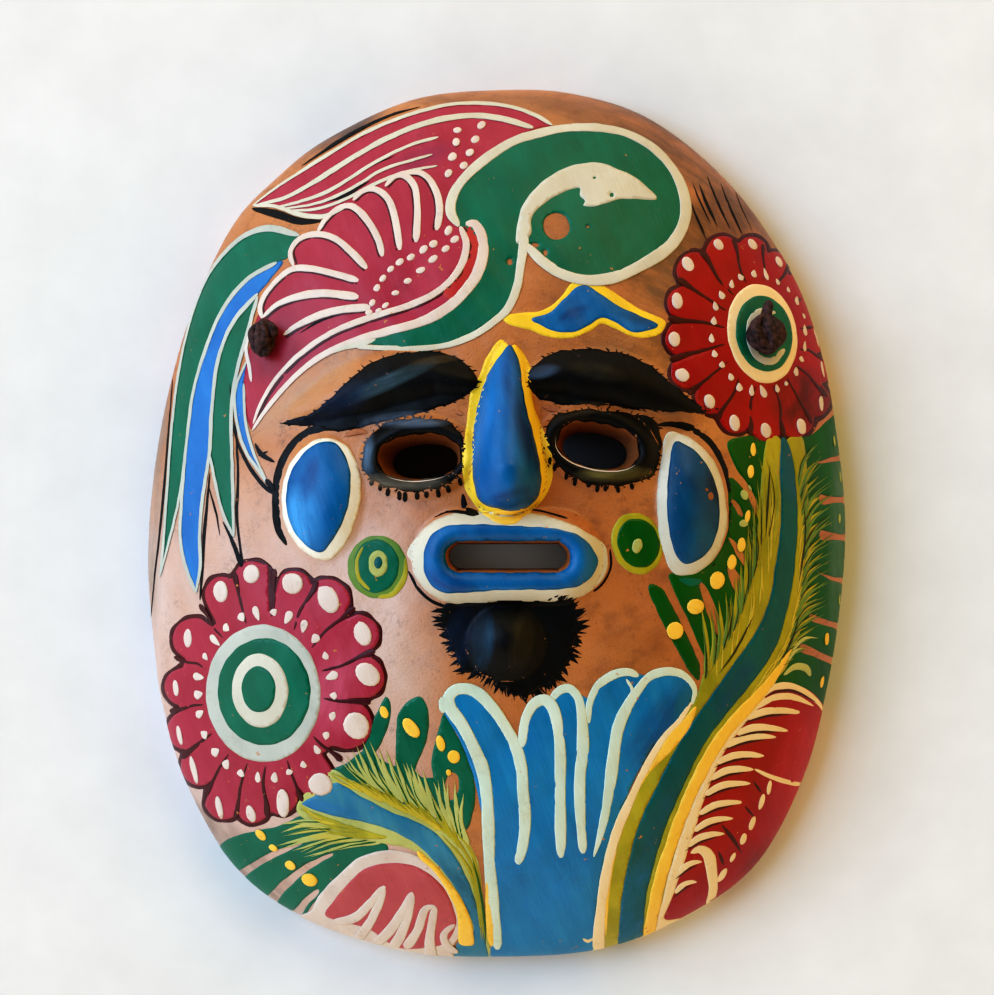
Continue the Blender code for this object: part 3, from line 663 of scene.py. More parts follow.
# A cooler white for the tulip's lines, made lighter as well, which paints light onto them.
tulip_white = make_paint("tulip_white", (206, 222, 204), (184, 206, 192), (222, 230, 210), 0.5, 0.5, 0.7)
bright_white = make_paint("bright_white", (232, 226, 206), (216, 204, 176), (240, 236, 220), 0.4, 0.5,
    0.7)
rosy_white = make_paint("rosy_white", (218, 202, 188), (200, 176, 164), (226, 214, 200), 0.5, 0.5, 0.5)
cream = make_paint("cream", (238, 216, 172), (228, 200, 140), (244, 230, 196), 0.4, 0.4, 0.5, 0.2)
yellow = make_paint("yellow", (240, 204, 54), (222, 178, 50), (246, 216, 76), 0.6, 0.5)
olive = make_paint("olive", (172, 160, 36), (194, 184, 58), (118, 124, 24), 0.7, 0.6)
pale_olive = make_paint("pale_olive", (186, 188, 112), (204, 202, 124), (142, 156, 84), 0.6, 0.6,
    clouds=(((210, 188, 66), (-35, -62.4), (12, 2.4), -24, 0.8),
    ((204, 186, 70), (-40, -70.6), (10, 2.2), -8, 0.8), ((176, 160, 50), (-12, -75), (12, 3), -50, 0.6)))
ochre = make_paint("ochre", (204, 182, 56), (220, 200, 76), (160, 152, 44), 0.6, 0.6)
umber = make_paint("umber", (44, 44, 10), (60, 58, 14), (24, 34, 8), 0.6, 0.6, 0.3)
moss = make_paint("moss", (104, 136, 56), (134, 156, 70), (64, 112, 56), 0.6, 0.5)
amber = make_paint("amber", (244, 200, 74), (232, 184, 56), (250, 212, 104), 0.5, 0.5)

# %% Black
# Painted highlights: the slate-blue bands on both brows and the teal-blue cloud on the left of the chin's
# bump; a painted warm reflection: the greyish brown cloud on the bump's right.
BLACK_CLOUDS_AND_HIGHLIGHTS = (((78, 106, 118), (-24, 31.4), (14, 2), 24, 0.8),
    ((14, 34, 62), (-37, 27), (12, 5), 24, 0.9), ((92, 74, 46), (-13, 36.4), (7, 1.2), 8, 0.5),
    ((66, 86, 110), (10, 33.6), (4.6, 1.8), 12, 0.8), ((56, 52, 40), (22, 33.6), (8, 2.4), -12, 0.5),
    ((22, 66, 92), (-3.2, -26), (8, 3), 84, 0.8), ((12, 38, 66), (-9, -27), (10, 4), 75, 0.8),
    ((70, 62, 40), (5.4, -26), (8, 3.2), 80, 0.5), ((84, 108, 130), (-29.6, 15.4), (8, 3), 88, 1),
    ((92, 106, 124), (-18.4, 23), (12, 2.2), 2, 1), ((118, 112, 98), (-20, 9.2), (11, 2), -4, 1),
    ((60, 48, 30), (17, 24.4), (8, 2), 20, 0.7), ((138, 128, 74), (26, 11), (10, 2), 2, 0.9),
    ((50, 40, 32), (36, 17), (8, 2.6), 90, 0.6))
black = make_paint("black", (10, 11, 12), (18, 24, 28), (5, 4, 4), 0.5, 0.6, 0.35, 0, 0.6, 0.12,
    BLACK_CLOUDS_AND_HIGHLIGHTS)
print("paints:", len(bpy.data.materials))

# %% [markdown]
# ## The clay shell
# The shell is one closed skin: the painted side, the hollow back, and the walls that join them
# round the rim, the eyes, the mouth and the two lace holes. Each side is filled with even
# triangles over the unrolled sheet, finer over the face, because long thin triangles would
# show as streaks in the gloss.

# %% Filling a loop with even triangles
CELL = 0.95               # side of a triangle, in mm
FINE_CELL = 0.62
FACE_LOW, FACE_HIGH = np.array((-36.0, -24.0)), np.array((44.0, 52.0))   # on the sheet, in mm
print("triangles:", CELL, "mm, over the face", FINE_CELL, "mm")


def inside(spots, loop):
    """Which spots lie inside a closed loop."""
    found = np.zeros(len(spots), dtype=bool)
    near = np.flatnonzero(np.all((spots > loop.min(0)) & (spots < loop.max(0)), axis=1))
    x, y = spots[near, 0], spots[near, 1]
    odd = np.zeros(len(near), dtype=bool)
    for (ax, ay), (bx, by) in zip(loop, np.roll(loop, -1, axis=0)):
        if ay != by:
            odd ^= ((ay > y) != (by > y)) & (x < (bx - ax) * (y - ay) / (by - ay) + ax)
    found[near] = odd
    return found


def between_loops(spots, loops):
    """Which spots lie inside the first loop and outside the others."""
    keep = inside(spots, loops[0])
    for hole in loops[1:]:
        keep &= ~inside(spots, hole)
    return keep


def hexagons(low, high, cell):
    rows = np.arange(low[1], high[1], cell * math.sqrt(0.75))
    grid = np.stack(np.meshgrid(np.arange(low[0], high[0], cell), rows), axis=-1)
    grid[1::2, :, 0] += 0.5 * cell
    return grid.reshape(-1, 2)


def even_spots(low, high, cell, fine_cell):
    coarse = hexagons(low, high, cell)
    on_face = np.all((coarse > FACE_LOW) & (coarse < FACE_HIGH), axis=1)
    low, high = np.maximum(low, FACE_LOW), np.minimum(high, FACE_HIGH)
    if np.any(low >= high):
        return coarse
    return np.vstack([coarse[~on_face], hexagons(low, high, fine_cell)])


# %% Filled outlines
def fill(loops, cell=CELL, fine_cell=FINE_CELL):
    """Spots, triangles and border edges that fill the first loop and leave the others open."""
    spots = even_spots(loops[0].min(0), loops[0].max(0), cell, fine_cell)
    spots = spots[between_loops(spots, loops)]
    border = np.vstack(loops)
    tree = KDTree(len(border))
    for k, (x, y) in enumerate(border):
        tree.insert((x, y, 0.0), k)
    tree.balance()
    gap = np.array([tree.find((x, y, 0.0))[2] for x, y in spots])
    spots = spots[gap > 0.5 * fine_cell] if len(spots) else spots
    sides, start = [], 0
    for line in loops:
        sides += [(start + k, start + (k + 1) % len(line)) for k in range(len(line))]
        start += len(line)
    given = [Vector(spot) for spot in np.vstack([border, spots])]
    made = delaunay_2d_cdt(given, sides, [], 1, 1e-7)
    spots, faces = np.array([tuple(spot) for spot in made[0]]), np.array(made[2])
    faces = faces[between_loops(spots[faces].mean(axis=1), loops)]
    used, faces = np.unique(faces, return_inverse=True)
    spots, faces = spots[used], faces.reshape(-1, 3)
    edges = np.vstack([faces[:, (0, 1)], faces[:, (1, 2)], faces[:, (2, 0)]])
    keys = edges[:, 0] * len(spots) + edges[:, 1]
    back_keys = edges[:, 1] * len(spots) + edges[:, 0]
    return spots, faces, edges[~np.isin(keys, back_keys)]


# %% Putting meshes together
def add_object(name, mesh):
    piece = bpy.data.objects.new(name, mesh)
    scene.collection.objects.link(piece)
    return piece


def mesh_from(name, points, faces, material):
    mesh = bpy.data.meshes.new(name)
    mesh.from_pydata(points, [], faces)
    mesh.shade_smooth()
    mesh.materials.append(material)
    return mesh


def weld(mesh, distance, outwards=False):
    """Merge points nearer than a distance in metres, and count the edges that stay open."""
    form = bmesh.new()
    form.from_mesh(mesh)
    bmesh.ops.remove_doubles(form, verts=form.verts, dist=distance)
    if outwards:
        bmesh.ops.recalc_face_normals(form, faces=form.faces)
    open_edges = sum(not edge.is_manifold for edge in form.edges)
    form.to_mesh(mesh)
    form.free()
    return open_edges


def joined(blocks):
    """Points and faces of several blocks as one list of each."""
    points, faces, start = [], [], 0
    for block_points, block_faces in blocks:
        points.append(np.asarray(block_points, dtype=float))
        faces += [tuple(int(k) + start for k in face) for face in block_faces]
        start += len(block_points)
    return np.vstack(points), faces


def strip(rings):
    """Points and faces of a wall through equal closed rings."""
    sides = len(rings[0])
    faces = []
    for j in range(len(rings) - 1):
        near, far = j * sides, (j + 1) * sides
        faces += [(near + (k + 1) % sides, near + k, far + k, far + (k + 1) % sides)
                  for k in range(sides)]
    return np.vstack(rings), faces


# %% The hollow back
THUMBS = 90               # presses of a thumb: place across and up, reach and depth, in mm
rng = np.random.default_rng(SEED)
thumbs = np.column_stack([rng.uniform(-64, 64, THUMBS), rng.uniform(-84, 84, THUMBS),
                          rng.uniform(5, 9, THUMBS), rng.uniform(0.15, 0.45, THUMBS)])
print("presses in the hollow side:", len(thumbs))


def back_height(x, y):
    """Height of the hollow side, pressed in by many thumbs."""
    share = np.clip(np.hypot(x, y) / (rim_reach(x, y) - WALL), 0.0, 1.0)
    rise = (DOME - WALL) * (1.0 - share ** DOME_ROUND) ** DOME_SIDE
    outer = np.clip(np.hypot(x, y) / rim_reach(x, y), 0.0, 1.0)
    near = np.interp(outer, SHARE, SEEN) / np.maximum(outer, 1e-6) / MM
    height = SKIRT + rise + back_relief(x * near, y * near)
    for u, v, reach, depth in thumbs:
        height = height + MM * depth * hill(np.hypot(x / MM - u, y / MM - v), reach) * (1.0 - share ** 6)
    return height


def back_sheet(x, y):
    """Place on the sheet of a point of the hollow side, given in metres."""
    far, reach = np.hypot(x, y), rim_reach(x, y)
    walked = np.interp(far / (reach - WALL), SHARE, WALKED) * reach / MM
    return np.stack([x, y], axis=1) * (walked / far)[:, None]


def back_point(spots):
    way, reach, share, down = rolled_back(spots)
    x, y = (way * (share * (reach - WALL))[:, None]).T
    return np.stack([x, y, back_height(x, y) - down], axis=1)


# %% Loops of the openings
EDGE_ROUND = 0.8          # rounding of the clay at an opening, in mm
RIM_SIDES, EYE_SIDES, MOUTH_END_SIDES, HOLE_SIDES = 760, 72, 22, 24
FRONT_STOP = 6.3          # how far down the skirt the painted side goes, in mm
BACK_STOP = 5.8           # and the hollow side
# Each row of the rim is its way in from the outline and its height.
RIM_ROWS_MM = ((1.95, 0.36), (2.3, 0.1), (2.8, 0.0), (5.0, 0.0), (5.9, 0.25), (6.35, 0.7))
BACK_CELL, BACK_FINE_CELL = 2.0, 1.8
WELD = 0.00002            # points nearer than this are one, in metres
WALL_SHARES = (0.12, 0.35, 0.65, 0.9)  # where a wall has a row of points, from front to back
SEARCH_STEPS, SEARCH_SHARE = 12, 0.7


def eye_mark(eye, wider=0.0, share=1.0):
    """Outline of an eye opening in the flat layout."""
    middle, tilt, _ = eye
    a = circle_angles(EYE_SIDES)
    p = (EYE_HALF_LENGTH * share + wider) * np.sign(np.cos(a)) * np.abs(np.cos(a)) ** 0.9
    q = (EYE_HALF_HEIGHT * share + wider) * np.sign(np.sin(a)) * np.abs(np.sin(a)) ** 0.85
    return placed(p, q, middle, tilt)


def mouth_mark(wider):
    half = MOUTH_HALF_HEIGHT + wider
    right = np.radians(np.linspace(-90.0, 90.0, MOUTH_END_SIDES))
    ends = [np.stack([MOUTH_TO[0] + half * np.cos(right), MOUTH_TO[1] + half * np.sin(right)], 1),
            np.stack([MOUTH_FROM[0] - half * np.cos(right), MOUTH_FROM[1] - half * np.sin(right)], 1)]
    return smooth_points(np.vstack(ends), 1.0, closed=True)


def hole_mark(middle, wider=0.0):
    a = circle_angles(HOLE_SIDES)
    return to_sheet([middle]) + np.stack([np.cos(a), np.sin(a)], axis=1) * (HOLE_RADIUS + wider)


def straight_through(points, way):
    """Where lines from the front points along a direction come out of the hollow side."""
    length = np.full(len(points), WALL)
    for _ in range(SEARCH_STEPS):
        ends = points + way * length[:, None]
        length = length + SEARCH_SHARE * (ends[:, 2] - back_height(ends[:, 0], ends[:, 1]))
    return points + way * length[:, None]


def rounded_wall(marks_at, back):
    """Rings from the painted side over a rounded edge and through the wall to the back ring."""
    rings = []
    for angle in np.radians((0.0, 30.0, 60.0, 90.0)):
        wider = EDGE_ROUND * (1.0 - math.sin(angle))
        rings.append(on_clay(marks_at(wider), -EDGE_ROUND * (1.0 - math.cos(angle)))[0])
    edge = rings[-1]
    rings += [edge + (back - edge) * share for share in WALL_SHARES]
    return rings + [back]


# %% Walls of the openings
front_holes, back_holes, walls = [], [], []
for eye in EYES:
    plan = clay_point(to_sheet(eye_mark(eye, share=EYE_NARROWING)))
    x, y = plan[:, 0] + eye[2][0] * MM, plan[:, 1] + eye[2][1] * MM
    back = np.stack([x, y, back_height(x, y)], axis=1)
    front_holes.append(to_sheet(eye_mark(eye, EDGE_ROUND)))
    back_holes.append(back_sheet(x, y))
    walls.append(rounded_wall(lambda wider: to_sheet(eye_mark(eye, wider)), back))
slot_count = len(mouth_mark(EDGE_ROUND))


def mouth_ring(wider):
    """The mouth's outline with the same count of points at each width."""
    outline = mouth_mark(wider)
    run = np.linspace(0.0, len(outline), slot_count, endpoint=False)
    wrapped = np.vstack([outline, outline[:1]])
    steps = np.arange(len(wrapped))
    return to_sheet(np.stack([np.interp(run, steps, wrapped[:, k]) for k in range(2)], axis=1))


lip = clay_point(mouth_ring(0.0))
back = np.stack([lip[:, 0], lip[:, 1], back_height(lip[:, 0], lip[:, 1])], axis=1)
front_holes.append(mouth_ring(EDGE_ROUND))
back_holes.append(back_sheet(lip[:, 0], lip[:, 1]))
walls.append(rounded_wall(mouth_ring, back))
for middle in HOLES:
    _, out = on_clay(to_sheet([middle]))
    back = straight_through(clay_point(hole_mark(middle)), -out[0])
    front_holes.append(hole_mark(middle, EDGE_ROUND))
    back_holes.append(back_sheet(back[:, 0], back[:, 1]))
    walls.append(rounded_wall(lambda wider: hole_mark(middle, wider), back))

print("openings:", len(front_holes))

# %% Assemble the shell
angle = circle_angles(RIM_SIDES)
ways = np.stack([np.cos(angle), np.sin(angle)], axis=1)
reach = rim_reach(ways[:, 0], ways[:, 1])
brow = ways * (reach / MM * WALKED[-1])[:, None]       # where the dome meets the skirt
front_border = brow + ways * FRONT_STOP
back_border = brow + ways * BACK_STOP
rings = [clay_point(front_border)]
for inset, height in RIM_ROWS_MM:
    ring = ways * (reach - inset * MM)[:, None]
    rings.append(np.column_stack([ring, np.full(RIM_SIDES, height * MM)]))
rings.append(back_point(back_border))
walls.append(rings)

spots, faces, _ = fill([front_border] + front_holes)
painted_side = len(faces)
blocks = [(clay_point(spots), faces)]
spots, faces, _ = fill([back_border] + back_holes, BACK_CELL, BACK_FINE_CELL)
blocks.append((back_point(spots), faces[:, ::-1]))
blocks += [strip(rings) for rings in walls]
points, faces = joined(blocks)
mesh = mesh_from("clay_shell", points, faces, clay)
mesh.materials.append(raw_clay)
mesh.polygons.foreach_set("material_index", [int(k >= painted_side) for k in range(len(faces))])
open_edges = weld(mesh, WELD, outwards=True)
mesh.shade_smooth()
clay_shell = add_object("clay_shell", mesh)
print("clay shell:", len(mesh.polygons), "faces,", open_edges, "open edges")

# %% [markdown]
# ## Laying on the paint
# Three ways of painting cover everything on the mask. A flat colour is a film: a thin closed
# body that fills an outline and follows the clay. A line or a hatch mark is a stroke: Geometry
# Nodes sweep a flat, round-topped profile along a route on the clay and let it swell and taper.
# A dot is an instance of a small dome, turned to stand on the clay. Films and strokes are stacked
# in levels, as the painter stacked them.

# %% Levels and finish slots
LEVEL = 0.05              # from one level to the next, in mm
FILM_THICK = 0.04         # a film above its level, in mm
FILM_EDGE = 0.012         # where it thins out at its outline
FILM_ROOT = 0.10          # how far a film goes on down into the clay
LIFT = 0.02               # the lowest level above the clay
PAINT_SLOTS = {
    "crimson_paint": (crimson, pale_crimson, deep_red, orange_red, plum),
    "green_paint": (green, leaf_green, umber, moss),
    "blue_paint": (blue, shaded_blue, tulip_blue, stem_blue, sky_blue, teal),
    "white_paint": (white, cool_white, tulip_white, bright_white, rosy_white, cream),
    "yellow_paint": (yellow, olive, pale_olive, ochre, amber),
    "black_paint": (black,),
    "terracotta": (raw_clay, bare_clay),
}
painted = []              # every painted piece and its finish slot


def keep_painted(piece, colour, slot=None):
    """Note the finish slot of a painted piece: its colour's own, when no other is given."""
    own = [name for name, paints in PAINT_SLOTS.items() if colour in paints]
    painted.append((piece, slot or own[0]))


print("finish slots:", ", ".join(PAINT_SLOTS))


# %% Films
OUTLINE_STEP = 0.6        # between the points of a film's outline, in mm
ANY_TURN = 6.3            # a wave starts anywhere in a full turn, in radians


def shaken(line, amount):
    """The line with the small swings of a hand, as steady for a short line as for a long one."""
    count = len(line)
    turn = np.linspace(0.0, 2 * math.pi, count, endpoint=False)
    swing = np.zeros(count)
    for waves in (count // 26 + 1, count // 14 + 2, count // 8 + 3):
        swing += rng.uniform(0.4, 1.0) * np.sin(waves * turn + rng.uniform(0.0, ANY_TURN))
    way = np.roll(line, -1, axis=0) - np.roll(line, 1, axis=0)
    way /= np.maximum(np.linalg.norm(way, axis=1), 1e-6)[:, None]
    return line + np.stack([way[:, 1], -way[:, 0]], axis=1) * (0.55 * amount * swing)[:, None]


def film(outline, level=0, holes=(), wobble=0.10):
    """One closed film of paint inside an outline of the flat layout."""
    loops = [shaken(to_sheet(smooth_points(shape, OUTLINE_STEP, closed=True)), wobble)
             for shape in (outline, *holes)]
    spots, faces, border = fill(loops)
    thickness = np.full(len(spots), FILM_THICK)
    thickness[np.unique(border)] = FILM_EDGE
    top, out = on_clay(spots, LEVEL * level + LIFT + thickness)
    bottom = top - out * (LEVEL * level + FILM_ROOT + thickness)[:, None] * MM
    count = len(spots)
    walls = [(b, a, a + count, b + count) for a, b in border]
    return np.vstack([top, bottom]), list(faces) + list(faces[:, ::-1] + count) + walls


def paint_films(name, colour, *films, slot=None):
    points, faces = joined(films)
    keep_painted(add_object(name, mesh_from(name, points, faces, colour)), colour, slot)
    print(name, len(faces), "faces")


def ellipse(centre, size, turn=0.0, sides=12):
    a = circle_angles(sides)
    return placed(size[0] * np.cos(a), size[1] * np.sin(a), centre, turn)


# %% A node tree for strokes
GEOMETRY, MATERIAL, WHOLE = 'NodeSocketGeometry', 'NodeSocketMaterial', 'NodeSocketInt'


def attribute(tree, name, kind):
    return add_node(tree, 'GeometryNodeInputNamedAttribute', {'Name': name}, data_type=kind).outputs[0]


def keep_attribute(tree, geometry, name, value):
    return add_node(tree, 'GeometryNodeStoreNamedAttribute', {
        'Geometry': geometry, 'Name': name, 'Value': value},
        data_type='FLOAT', domain='POINT').outputs[0]


def uneven(tree, geometry, amount, scale):
    """Push the points about a little with noise, as wet paint spreads."""
    field = add_node(tree, 'ShaderNodeTexNoise', {'Scale': scale, 'Detail': 2.0})
    centred = add_node(tree, 'ShaderNodeVectorMath', {0: field.outputs['Color'], 1: (0.5, 0.5, 0.5)},
                       operation='SUBTRACT')
    push = add_node(tree, 'ShaderNodeVectorMath', {0: centred.outputs[0], 'Scale': amount},
                    operation='SCALE')
    return add_node(tree, 'GeometryNodeSetPosition', {
        'Geometry': geometry, 'Offset': push.outputs[0]}).outputs[0]


def finish_tree(tree, geometry, source, result):
    smooth = add_node(tree, 'GeometryNodeSetShadeSmooth', {'Geometry': geometry})
    real = add_node(tree, 'GeometryNodeRealizeInstances', {'Geometry': smooth.outputs[0]})
    coloured = add_node(tree, 'GeometryNodeSetMaterial', {
        'Geometry': real.outputs[0], 'Material': source.outputs["Material"]})
    tree.links.new(coloured.outputs[0], result.inputs["Geometry"])


strokes_tree, source, result = new_group(
    "brush_strokes", 'GeometryNodeTree',
    [("Geometry", GEOMETRY, None), ("Material", MATERIAL, None), ("Sides", WHOLE, 10),
     ("Crown", NUMBER, 0.07), ("Root", NUMBER, 0.30), ("Unevenness", NUMBER, 0.00025)],
    [("Geometry", GEOMETRY)])
line = add_node(strokes_tree, 'GeometryNodeMeshToCurve', {'Mesh': source.outputs["Geometry"]})
standing = add_node(strokes_tree, 'GeometryNodeSetCurveNormal', {
    'Curve': line.outputs[0], 'Normal': attribute(strokes_tree, "out", 'FLOAT_VECTOR')}, mode='FREE')
run = add_node(strokes_tree, 'GeometryNodeSplineParameter')
route = keep_attribute(strokes_tree, standing.outputs[0], "along", run.outputs['Length'])
circle = add_node(strokes_tree, 'GeometryNodeCurvePrimitiveCircle', {
    'Resolution': source.outputs["Sides"], 'Radius': 1.0}, mode='RADIUS')
place = add_node(strokes_tree, 'GeometryNodeInputPosition')
part = add_node(strokes_tree, 'ShaderNodeSeparateXYZ', {0: place.outputs[0]})
above = add_node(strokes_tree, 'FunctionNodeCompare', {0: part.outputs['Y'], 1: 0.0},
                 data_type='FLOAT', operation='GREATER_THAN')
share = add_node(strokes_tree, 'GeometryNodeSwitch', {
    0: above.outputs[0], 'False': source.outputs["Root"], 'True': source.outputs["Crown"]},
    input_type='FLOAT')
height = add_node(strokes_tree, 'ShaderNodeMath', {0: part.outputs['Y'], 1: share.outputs[0]},
                  operation='MULTIPLY')
corner = add_node(strokes_tree, 'ShaderNodeCombineXYZ', {0: height.outputs[0], 1: part.outputs['X']})
profile = add_node(strokes_tree, 'GeometryNodeSetPosition', {
    'Geometry': circle.outputs[0], 'Position': corner.outputs[0]})
profile = keep_attribute(strokes_tree, profile.outputs[0], "across", part.outputs['X'])
swept = add_node(strokes_tree, 'GeometryNodeCurveToMesh', {
    'Curve': route, 'Profile Curve': profile, 'Fill Caps': True,
    'Scale': attribute(strokes_tree, "half_width", 'FLOAT')})
finish_tree(strokes_tree, uneven(strokes_tree, swept.outputs[0], source.outputs["Unevenness"], 420.0),
            source, result)
print(strokes_tree.name, len(strokes_tree.nodes), "nodes")

# %% A node tree for dots
dots_tree, source, result = new_group(
    "paint_dots", 'GeometryNodeTree',
    [("Geometry", GEOMETRY, None), ("Material", MATERIAL, None), ("Sides", WHOLE, 14),
     ("Rings", WHOLE, 7), ("Unevenness", NUMBER, 0.0005)],
    [("Geometry", GEOMETRY)])
dome = add_node(dots_tree, 'GeometryNodeMeshUVSphere', {
    'Segments': source.outputs["Sides"], 'Rings': source.outputs["Rings"], 'Radius': 1.0})
upright = add_node(dots_tree, 'FunctionNodeAlignRotationToVector', {
    'Vector': attribute(dots_tree, "out", 'FLOAT_VECTOR')}, axis='Z')
spin = add_node(dots_tree, 'FunctionNodeAxisAngleToRotation', {
    'Axis': (0.0, 0.0, 1.0), 'Angle': attribute(dots_tree, "turn", 'FLOAT')})
facing = add_node(dots_tree, 'FunctionNodeRotateRotation', {
    0: upright.outputs[0], 1: spin.outputs[0]}, rotation_space='LOCAL')
stamped = add_node(dots_tree, 'GeometryNodeInstanceOnPoints', {
    'Points': source.outputs["Geometry"], 'Instance': dome.outputs['Mesh'],
    'Rotation': facing.outputs[0], 'Scale': attribute(dots_tree, "size", 'FLOAT_VECTOR')})
real = add_node(dots_tree, 'GeometryNodeRealizeInstances', {'Geometry': stamped.outputs[0]})
finish_tree(dots_tree, uneven(dots_tree, real.outputs[0], source.outputs["Unevenness"], 330.0),
            source, result)
print(dots_tree.name, len(dots_tree.nodes), "nodes")


# %% Running a tree
def run_tree(name, tree, guide, colour, **values):
    """The plain mesh that a tree makes from a guide mesh; the guide and modifier are removed."""
    values["Material"] = colour
    holder = add_object(name + "_guide", guide)
    modifier = holder.modifiers.new(tree.name, 'NODES')
    modifier.node_group = tree
    for item in tree.interface.items_tree:
        if item.in_out == 'INPUT' and item.name in values:
            modifier[item.identifier] = values[item.name]
    graph = bpy.context.evaluated_depsgraph_get()
    mesh = bpy.data.meshes.new_from_object(
        holder.evaluated_get(graph), preserve_all_data_layers=True, depsgraph=graph)
    mesh.name = name
    bpy.data.objects.remove(holder)
    keep_painted(add_object(name, mesh), colour)
    print(name, len(mesh.polygons), "faces")


def guide_mesh(name, points, edges, **attributes):
    mesh = bpy.data.meshes.new(name + "_guide")
    mesh.from_pydata(points, edges, [])
    for label, values in attributes.items():
        values = np.asarray(values, dtype=np.float32)
        kind, field = ('FLOAT_VECTOR', "vector") if values.ndim == 2 else ('FLOAT', "value")
        mesh.attributes.new(label, kind, 'POINT').data.foreach_set(field, values.ravel())
    return mesh


# %% Strokes and dots
STROKE_LIFT = 0.03        # middle of a stroke on the lowest level above the clay, in mm
SWELL, SWELL_LENGTH = 0.05, 2.3        # a stroke's uneven width: its share, and its run in mm
DOT_HEIGHT, DOT_SHARE = 0.12, 0.06     # a dot's half height: for the smallest, and more with its size


def taper(count, kind):
    """Share of the full half width along a stroke."""
    t = np.linspace(0.0, 1.0, count)
    if kind == "tip":         # full at the start, a point at the end
        return np.clip(1.0 - t ** 1.8, 0.05, 1.0) * np.clip(6 * t + 0.4, 0.0, 1.0)
    if kind == "leaf":        # a point at both ends
        return np.clip(np.sin(math.pi * t), 0.03, 1.0) ** 0.75
    return np.clip(1.0 - np.abs(2 * t - 1.0) ** (0.25 * count + 4), 0.1, 1.0) ** 0.5


def stroke(points, half_width, level=3, kind="round", side=0.0, spacing=0.7):
    """A stroke along a route of the flat layout; side moves it off the route, to its left."""
    line = to_sheet(smooth_points(points, spacing))
    way = np.gradient(line, axis=0)
    way /= np.maximum(np.linalg.norm(way, axis=1), 1e-6)[:, None]
    line = line + np.stack([-way[:, 1], way[:, 0]], axis=1) * side
    half = np.interp(np.linspace(0, 1, len(line)), np.linspace(0, 1, np.size(half_width)),
                     np.ravel(half_width))
    swell = 1.0 + SWELL * np.sin(np.arange(len(line)) * spacing / SWELL_LENGTH + rng.uniform(0.0, ANY_TURN))
    return line, half * taper(len(line), kind) * swell, np.full(len(line), LEVEL * level + STROKE_LIFT)


def paint_strokes(name, colour, strokes, sides=10):
    edges, start = [], 0
    for line, _, _ in strokes:
        edges += [(k, k + 1) for k in range(start, start + len(line) - 1)]
        start += len(line)
    lines, halves, lifts = zip(*strokes)
    points, out = on_clay(np.vstack(lines), np.concatenate(lifts))
    guide = guide_mesh(name, points, edges, out=out, half_width=np.concatenate(halves) * MM)
    run_tree(name, strokes_tree, guide, colour, Sides=sides)


def paint_dots(name, colour, dots, level=2):
    """Dots as (u, v, half width, half height, turn in degrees) of the flat layout."""
    dots = np.array([tuple(dot) + (0.0,) * (5 - len(dot)) for dot in dots], dtype=float)
    points, out = on_clay(to_sheet(dots[:, :2]), LEVEL * level + LIFT)
    tall = DOT_HEIGHT + DOT_SHARE * np.minimum(dots[:, 2], dots[:, 3])
    size = np.column_stack([dots[:, 2], dots[:, 3], tall]) * MM
    size[:, :2] *= rng.uniform(0.92, 1.08, (len(dots), 2))
    guide = guide_mesh(name, points, [], out=out, size=size, turn=np.radians(dots[:, 4]))
    run_tree(name, dots_tree, guide, colour)

# %% [markdown]
# ## The feathers on the left
# The tail has two green feathers with a blue one between them and a thin blue sliver beside
# them. Each colour was laid first and the pale outlines were drawn over the borders, so the
# colours only have to reach under the lines.

# %% Tail feathers
GREEN_1_OUTER = ((-46.6, 67.8), (-53.3, 69.5), (-58.5, 68.2), (-63.4, 64.4), (-68, 58.2), (-72.1, 47.9),
    (-74.9, 35.5), (-76.5, 22.6), (-77.6, 8), (-78.4, -4), (-79.3, -12.5))
GREEN_1_INNER = ((-51.8, 61.5), (-58.6, 57.6), (-64, 51.2), (-68, 42.6), (-71.4, 31), (-73.3, 16.7),
    (-74.4, 8), (-76.2, -0.5), (-79.3, -12.5))
BLUE_LEFT = ((-73.3, 16.7), (-74.2, 5), (-74.5, -3), (-73.3, -9.8), (-70.8, -16.3))
BLUE_RIGHT = ((-56.2, 54.2), (-62.1, 47.3), (-65.6, 38.5), (-67.1, 26.7), (-67.6, 17), (-69.4, 4.9),
    (-69.9, -3), (-69.8, -10), (-70.8, -16.3))
GREEN_2_RIGHT = ((-56.3, 53.5), (-58.8, 44.5), (-61.5, 34.4), (-62.5, 26), (-62.2, 10.8), (-61.9, -3.2))
GREEN_2_LEFT = ((-67.5, 16), (-65.9, 7.9), (-64.3, 2), (-61.9, -3.2))
SLIVER_LEFT = ((-58.9, 38.2), (-61.6, 31.4), (-61.2, 23.8), (-59.2, 17.2), (-56.2, 12.6), (-53.2, 8.3))
SLIVER_RIGHT = ((-59.6, 33), (-59.4, 27), (-58.7, 21.6), (-56.8, 15.5), (-54, 9.6))

